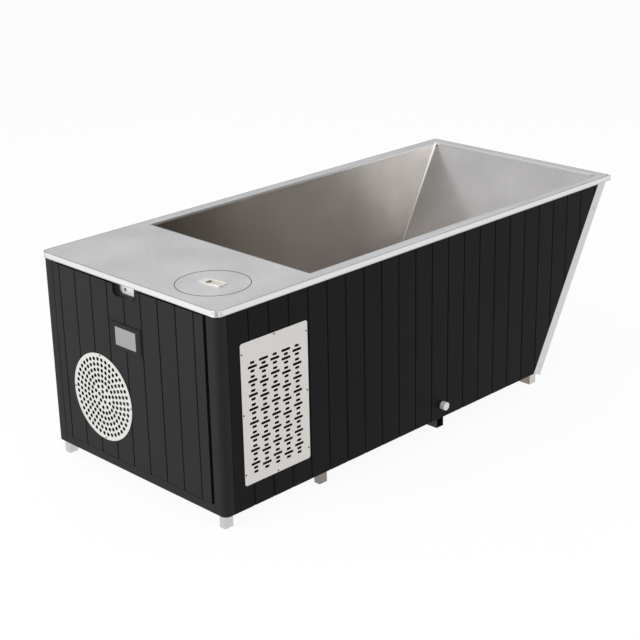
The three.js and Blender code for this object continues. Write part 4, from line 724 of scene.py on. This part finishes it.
def make_all_screws():
    """The vent's screws on a circle, the grille's in from its edges, the slope angles' along the slope."""
    plate_screw, trim_screw = 0.0024, 0.0036
    circle, inset, from_slope = 0.1325, 0.005, 0.0029
    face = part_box("round_vent")[0][0]
    turns = np.radians([0, 90, 180, 270])
    places = [(face, VENT[0] + circle * math.cos(a), VENT[1] + circle * math.sin(a)) for a in turns]
    make_screws("vent_screws", places, OUT_FRONT, "door", plate_screw, SCREW_PAINTED_SHADE)
    low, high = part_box("side_grille")
    middle = (low[0] + high[0]) / 2
    places = [(x, low[1], z) for x in (low[0] + inset, high[0] - inset) for z in (0.150, 0.332, 0.513)]
    places += [(middle, low[1], z) for z in (low[2] + inset, high[2] - inset)]
    make_screws("grille_screws", places, OUT_RIGHT, "tub", plate_screw, SCREW_PAINTED_SHADE)
    for name, y, axes in (("trim_screws_right", -FACE_Y, OUT_RIGHT), ("trim_screws_left", FACE_Y, OUT_LEFT)):
        places = [(well_x(z) + from_slope * ACROSS, y, z) for z in (0.064, 0.23, 0.395, 0.56)]
        make_screws(name, places, axes, "tub", trim_screw, SIDE_STEEL)


make_drain_cap()
make_all_screws()


# Base

def make_base_trims():
    """Plates that close the back rail's ends, and a strip over the slit between door sill and tray.

    Each is a rounded rectangle carried up its height."""
    half_sheet, out, inset, corner = 0.0006, 0.0009, 0.0004, 0.0005
    low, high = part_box("back_rail")
    for name, y in (("rail_end_right", low[1] - out), ("rail_end_left", high[1] + out)):
        plate = block(low[0] + inset, high[0] - inset, y - half_sheet, y + half_sheet,
                      inset, high[2] - inset, corner)
        make_piece(name, [plate], "tub", LEG_STEEL)
    low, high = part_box("door_sill")
    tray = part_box("equipment_tray")[0][0]
    strip = block(high[0] + SEAT, tray + 0.006, low[1] + SEAT, high[1] - SEAT,
                  high[2] - 0.0024, high[2] - inset, corner)
    make_piece("bay_strip", [strip], "tub", BLACK_PAINT)


make_base_trims()


# Cooling bay

def make_fan():
    """A hub and swept blades: each blade is a closed section whose pitch eases from root to tip."""
    blades, root, span = 5, 0.029, 0.084
    low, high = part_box("fan_rotor")
    centre = ((low[0] + high[0]) / 2, *VENT)
    hub = [[0.0046, 0.013], [0.031, 0.013], [0.032, 0.011], [0.032, -0.006], [0.028, -0.011], [0.008, -0.013]]
    u = np.linspace(0, 1, 14)[:, None]
    t = np.linspace(0, 2 * np.pi, 20, endpoint=False)[None]
    reach = root + span * u
    pitch = np.radians(30 - 10 * u)
    chord = (0.022 + 0.004 * np.sin(np.pi * u)) * np.cos(t)
    thick = 0.0012 * np.sin(t) + 0.002 * (1 - np.cos(t) ** 2)
    across = chord * np.cos(pitch) - thick * np.sin(pitch) + 0.012 * u ** 2
    along = chord * np.sin(pitch) + thick * np.cos(pitch)
    lofts = [turned(hub, centre, ALONG_X)]
    for turn in 2 * np.pi * np.arange(blades) / blades:
        c, s = math.cos(turn), math.sin(turn)
        y, z = c * across - s * reach, s * across + c * reach
        lofts.append((stand(np.stack([y, z, along], -1), centre, ALONG_X), False))
    make_piece("fan_wheel", lofts, "fan", BLACK_PLASTIC, ["fan_rotor"])


def make_pipes():
    """The solids' pipe routes again: circles carried along straight runs with eased corners."""
    hose = (0.013, WHITE_PLASTIC, "white_plastic")
    tube = (0.005, COPPER, "copper")
    routes = [
        ("pump_hose", "pump_pipe", hose, 0.024, [
            (-0.5993, -0.13, 0.2279), (-0.5993, -0.13, FILTER_IN),
            (-0.5993, -0.211, FILTER_IN), (-0.6547, -0.211, FILTER_IN)]),
        ("filter_hose", "filter_pipe", hose, 0.0168, [
            (-0.749, -0.1167, FILTER_OUT), (-0.749, RETURN_Y, FILTER_OUT),
            (-0.6263, RETURN_Y, FILTER_OUT), (-0.6263, RETURN_Y, 0.4109)]),
        ("gas_tube", "hot_gas_line", tube, 0.020, [
            (-0.6313, 0.23, 0.3259), (-0.6313, 0.23, 0.4116),
            (-0.5723, 0.23, 0.4116), (-0.5723, -0.3309, 0.4116)]),
        ("liquid_tube", "liquid_line", tube, 0.020, [
            (-0.5663, -0.3309, 0.1066), (-0.5663, -0.030, 0.1066),
            (-0.6263, -0.030, 0.1066), (-0.6263, 0.0047, 0.1066)]),
    ]
    for name, node, (radius, finish, slot), bend, corners in routes:
        rings = pipe_rings(bent_path(corners, bend), radius)
        make_piece(name, [(rings, False)], "tub", finish, [node])


def make_compressor():
    """A domed shell with a weld flange at mid-height and two ports, turned profiles on a base plate."""
    half_base, shell, flange, port = 0.070, 0.062, 0.0645, 0.007
    low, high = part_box("compressor")
    x, y, foot = (low[0] + high[0]) / 2, high[1] - half_base, low[2]
    t = np.linspace(0, np.pi / 2, 8)
    dome = np.stack([0.022 + 0.040 * np.cos(t), 0.195 + 0.040 * np.sin(t)], 1)
    wall = [[0.02, 0.003], [shell, 0.004], [shell, 0.112], [flange, 0.114], [flange, 0.119], [shell, 0.121]]
    make_piece("compressor_shell", [
        turned(np.concatenate([wall, dome]), (x, y, foot), UPRIGHT),
        turned([[port, 0.21], [port, 0.249]], (x, y, foot), UPRIGHT, 20),
        turned([[port, 0], [port, y - low[1]]], (x, y, foot + 0.19), OUT_RIGHT, 20),
        block(low[0], high[0], y - half_base, y + half_base, foot, foot + 0.004, 0.008)],
        "tub", BLACK_PAINT, ["compressor"])


def make_pump_motor():
    """A turned casing on a foot: its rings are drawn in two by two, which leaves ribs between them."""
    rings, outer, rib = 33, 0.0515, 0.003
    low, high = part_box("pump_motor")
    back, face, foot = low[0], high[0], low[2]
    drawn_in = np.arange(rings) % 4 // 2
    ribs = np.stack([outer - rib * drawn_in, np.linspace(back + 0.02, face - 0.03, rings)], 1)
    end = [[0.03, back], [0.044, back + 0.002], [0.051, back + 0.014]]
    flange = [[0.052, face - 0.02], [0.052, face - 0.006], [0.062, face - 0.006],
              [0.062, face], [0.0066, face]]
    make_piece("pump_casing", [
        turned(np.concatenate([end, ribs, flange]), (0, *PUMP), ALONG_X),
        block(face - 0.12, face - 0.03, PUMP[0] - 0.04, PUMP[0] + 0.04, foot, PUMP[1] - 0.035, 0.004)],
        "tub", BLACK_PAINT, ["pump_motor"])


def stub_profile(start, collar):
    """A hose stub's section: a tube from start to its collar, which is 4 mm long and 1.5 mm proud."""
    bore, tube, proud, end = 0.010, 0.013, 0.0145, collar + 0.004
    return [[tube, start], [tube, collar], [proud, collar], [proud, end], [bore, end], [bore, start]]


def make_pump_volute():
    """A hollow turned housing with a neck towards the well, and a stub on top."""
    low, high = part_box("pump_volute")
    front, back = low[0], low[0] + 0.046
    body = [[0.014, high[0]], [0.020, high[0]], [0.020, back + 0.004], [0.026, back],
            [0.056, back - 0.002], [0.062, back - 0.010], [0.062, front], [0.056, front],
            [0.056, back - 0.008], [0.014, back - 0.008]]
    make_piece("pump_scroll", [
        turned(body, (0, *PUMP), ALONG_X, closed=True),
        turned(stub_profile(0.057, 0.072), ((front + back) / 2, *PUMP), UPRIGHT, 24, True)],
        "tub", BLACK_PLASTIC, ["pump_volute"])


def make_canister():
    """A turned bowl with a wide flange and a raised ring, and two turned port stubs."""
    low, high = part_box("filter_canister")
    foot, top = low[2], high[2]
    bowl = [[0.03, foot], [0.070, foot], [0.080, foot + 0.010], [0.080, top - 0.040], [0.084, top - 0.036],
            [0.084, top - 0.030], [0.080, top - 0.026], [0.080, top - 0.006], [0.100, top - 0.006],
            [0.100, top], [0.074, top], [0.074, foot + 0.006], [0.03, foot + 0.006]]
    stub = stub_profile(0.0735, 0.090)
    make_piece("filter_bowl", [
        turned(bowl, (*LID, 0), UPRIGHT),
        turned(stub, (*LID, FILTER_IN), ALONG_X, 24, True),
        turned(stub, (*LID, FILTER_OUT), OUT_LEFT, 24, True)],
        "tub", BLUE_PLASTIC, ["filter_canister"])


def make_well_fittings():
    """Suction strainer, return nozzle and floor drain: turned flanges with a domed middle and a tail."""
    face = WELL_FRONT + SEAT
    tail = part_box("suction_strainer")[0][0]
    strainer = [[0.014, tail], [0.020, tail], [0.020, face], [0.045, face], [0.045, face + 0.003],
                [0.040, face + 0.005], [0.030, face + 0.0055], [0.028, face + 0.0085],
                [0.020, face + 0.010], [0.003, face + 0.0103]]
    low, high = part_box("return_nozzle")
    spout = (0, RETURN_Y, (low[2] + high[2]) / 2)
    nozzle = [[0.014, low[0]], [0.020, low[0]], [0.020, face], [0.032, face], [0.032, face + 0.003],
              [0.026, face + 0.0095], [0.014, face + 0.0103], [0.011, face + 0.004], [0.002, face + 0.004]]
    low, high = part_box("floor_drain")
    middle = ((low[0] + high[0]) / 2, (low[1] + high[1]) / 2, 0)
    foot, floor, top = low[2], WELL_FLOOR + SEAT, high[2]
    drain = [[0.01, foot], [0.022, foot], [0.022, floor], [0.038, floor], [0.0375, top - 0.0006],
             [0.036, top], [0.024, top], [0.020, top - 0.0012], [0.014, top - 0.0004], [0.002, top]]
    fittings = [
        ("suction_cover", "suction_strainer", strainer, (0, *PUMP), ALONG_X),
        ("return_cover", "return_nozzle", nozzle, spout, ALONG_X),
        ("drain_flange", "floor_drain", drain, middle, UPRIGHT),
    ]
    for name, node, profile, place, axes in fittings:
        make_piece(name, [turned(profile, place, axes)], "tub", SIDE_STEEL, [node])


make_fan()
make_pipes()
make_compressor()
make_pump_motor()
make_pump_volute()
make_canister()
make_well_fittings()


# Studio

def make_floor():
    """A plain pale floor, white to the camera and in reflections, with part of its shade kept for shadows."""
    reach, white_share = 400.0, 0.93
    mesh = bpy.data.meshes.new("studio_floor")
    corners = [(-reach, -reach, 0), (reach, -reach, 0), (reach, reach, 0), (-reach, reach, 0)]
    mesh.from_pydata(corners, [], [(0, 1, 2, 3)])
    floor = bpy.data.objects.new("studio_floor", mesh)
    bpy.context.collection.objects.link(floor)
    look = Look("studio_floor", Base_Color=(0.86, 0.86, 0.86, 1), Roughness=0.9, Specular_IOR_Level=0.1)
    camera, glossy, through = [look.node("ShaderNodeLightPath", (), (), ray)
                               for ray in ("Is Camera Ray", "Is Glossy Ray", "Is Transmission Ray")]
    white = look.node("ShaderNodeEmission", (), {"Color": (1, 1, 1, 1), "Strength": 1.0})
    plain = Socket(look, look.shader.outputs[0])
    seen = (camera + glossy + through) * white_share
    mixed = look.node("ShaderNodeMixShader", (), {0: seen, 1: plain, 2: white})
    look.tree.links.new(mixed.link, look.tree.nodes["Material Output"].inputs["Surface"])
    mesh.materials.append(look.material)


def make_world():
    """An even pale grey studio above the floor, seen and reflected at the strength that lights the tub."""
    world = bpy.data.worlds.new("studio")
    bpy.context.scene.world = world
    world.use_nodes = True
    world.node_tree.nodes["Background"].inputs["Color"].default_value = (0.64, 0.64, 0.65, 1)


def make_lamp(name, place, target, size, watts):
    """A square soft panel at a place, facing a target."""
    lamp = bpy.data.lights.new(name, "AREA")
    lamp.energy = watts
    lamp.size = size
    holder = bpy.data.objects.new(name, lamp)
    bpy.context.collection.objects.link(holder)
    x, y, z = np.array(target, float) - np.array(place, float)
    holder.location = place
    holder.rotation_euler = (math.atan2(math.hypot(x, y), -z), 0, math.atan2(y, x) - math.pi / 2)


def make_camera():
    """The photograph's viewpoint: azimuth, elevation and roll turned into the camera's three axes."""
    place = (-3.3337, -3.2418, 2.0519)
    azimuth, elevation, roll = np.radians([-44.720, 20.802, -1.2253])
    level = math.cos(elevation)
    back = np.array([math.sin(azimuth) * level, -math.cos(azimuth) * level, math.sin(elevation)])
    right = np.array([math.cos(azimuth), math.sin(azimuth), 0])
    up = np.cross(back, right)
    c, s = math.cos(roll), math.sin(roll)
    right, up = c * right + s * up, c * up - s * right
    lens = bpy.data.cameras.new("photo_view")
    lens.lens = 85.0
    lens.sensor_width = 36.0
    lens.clip_end = 1000.0
    camera = bpy.data.objects.new("photo_view", lens)
    bpy.context.collection.objects.link(camera)
    matrix = np.eye(4)
    matrix[:3, :4] = np.stack([right, up, back, place], 1)
    camera.matrix_world = matrix.T.tolist()
    bpy.context.scene.camera = camera


make_floor()
make_world()
make_lamp("front_panel", (-4.2, 0.6, 1.5), (-0.4, 0, 0.3), 2.6, 118)
make_lamp("side_panel", (-0.6, -4.4, 2.6), (0, 0, 0.3), 2.8, 45)
make_lamp("top_panel", (0.4, 0.6, 4.4), (0, 0, 0.3), 6.0, 85)
make_camera()
bpy.context.scene.view_settings.view_transform = "Standard"
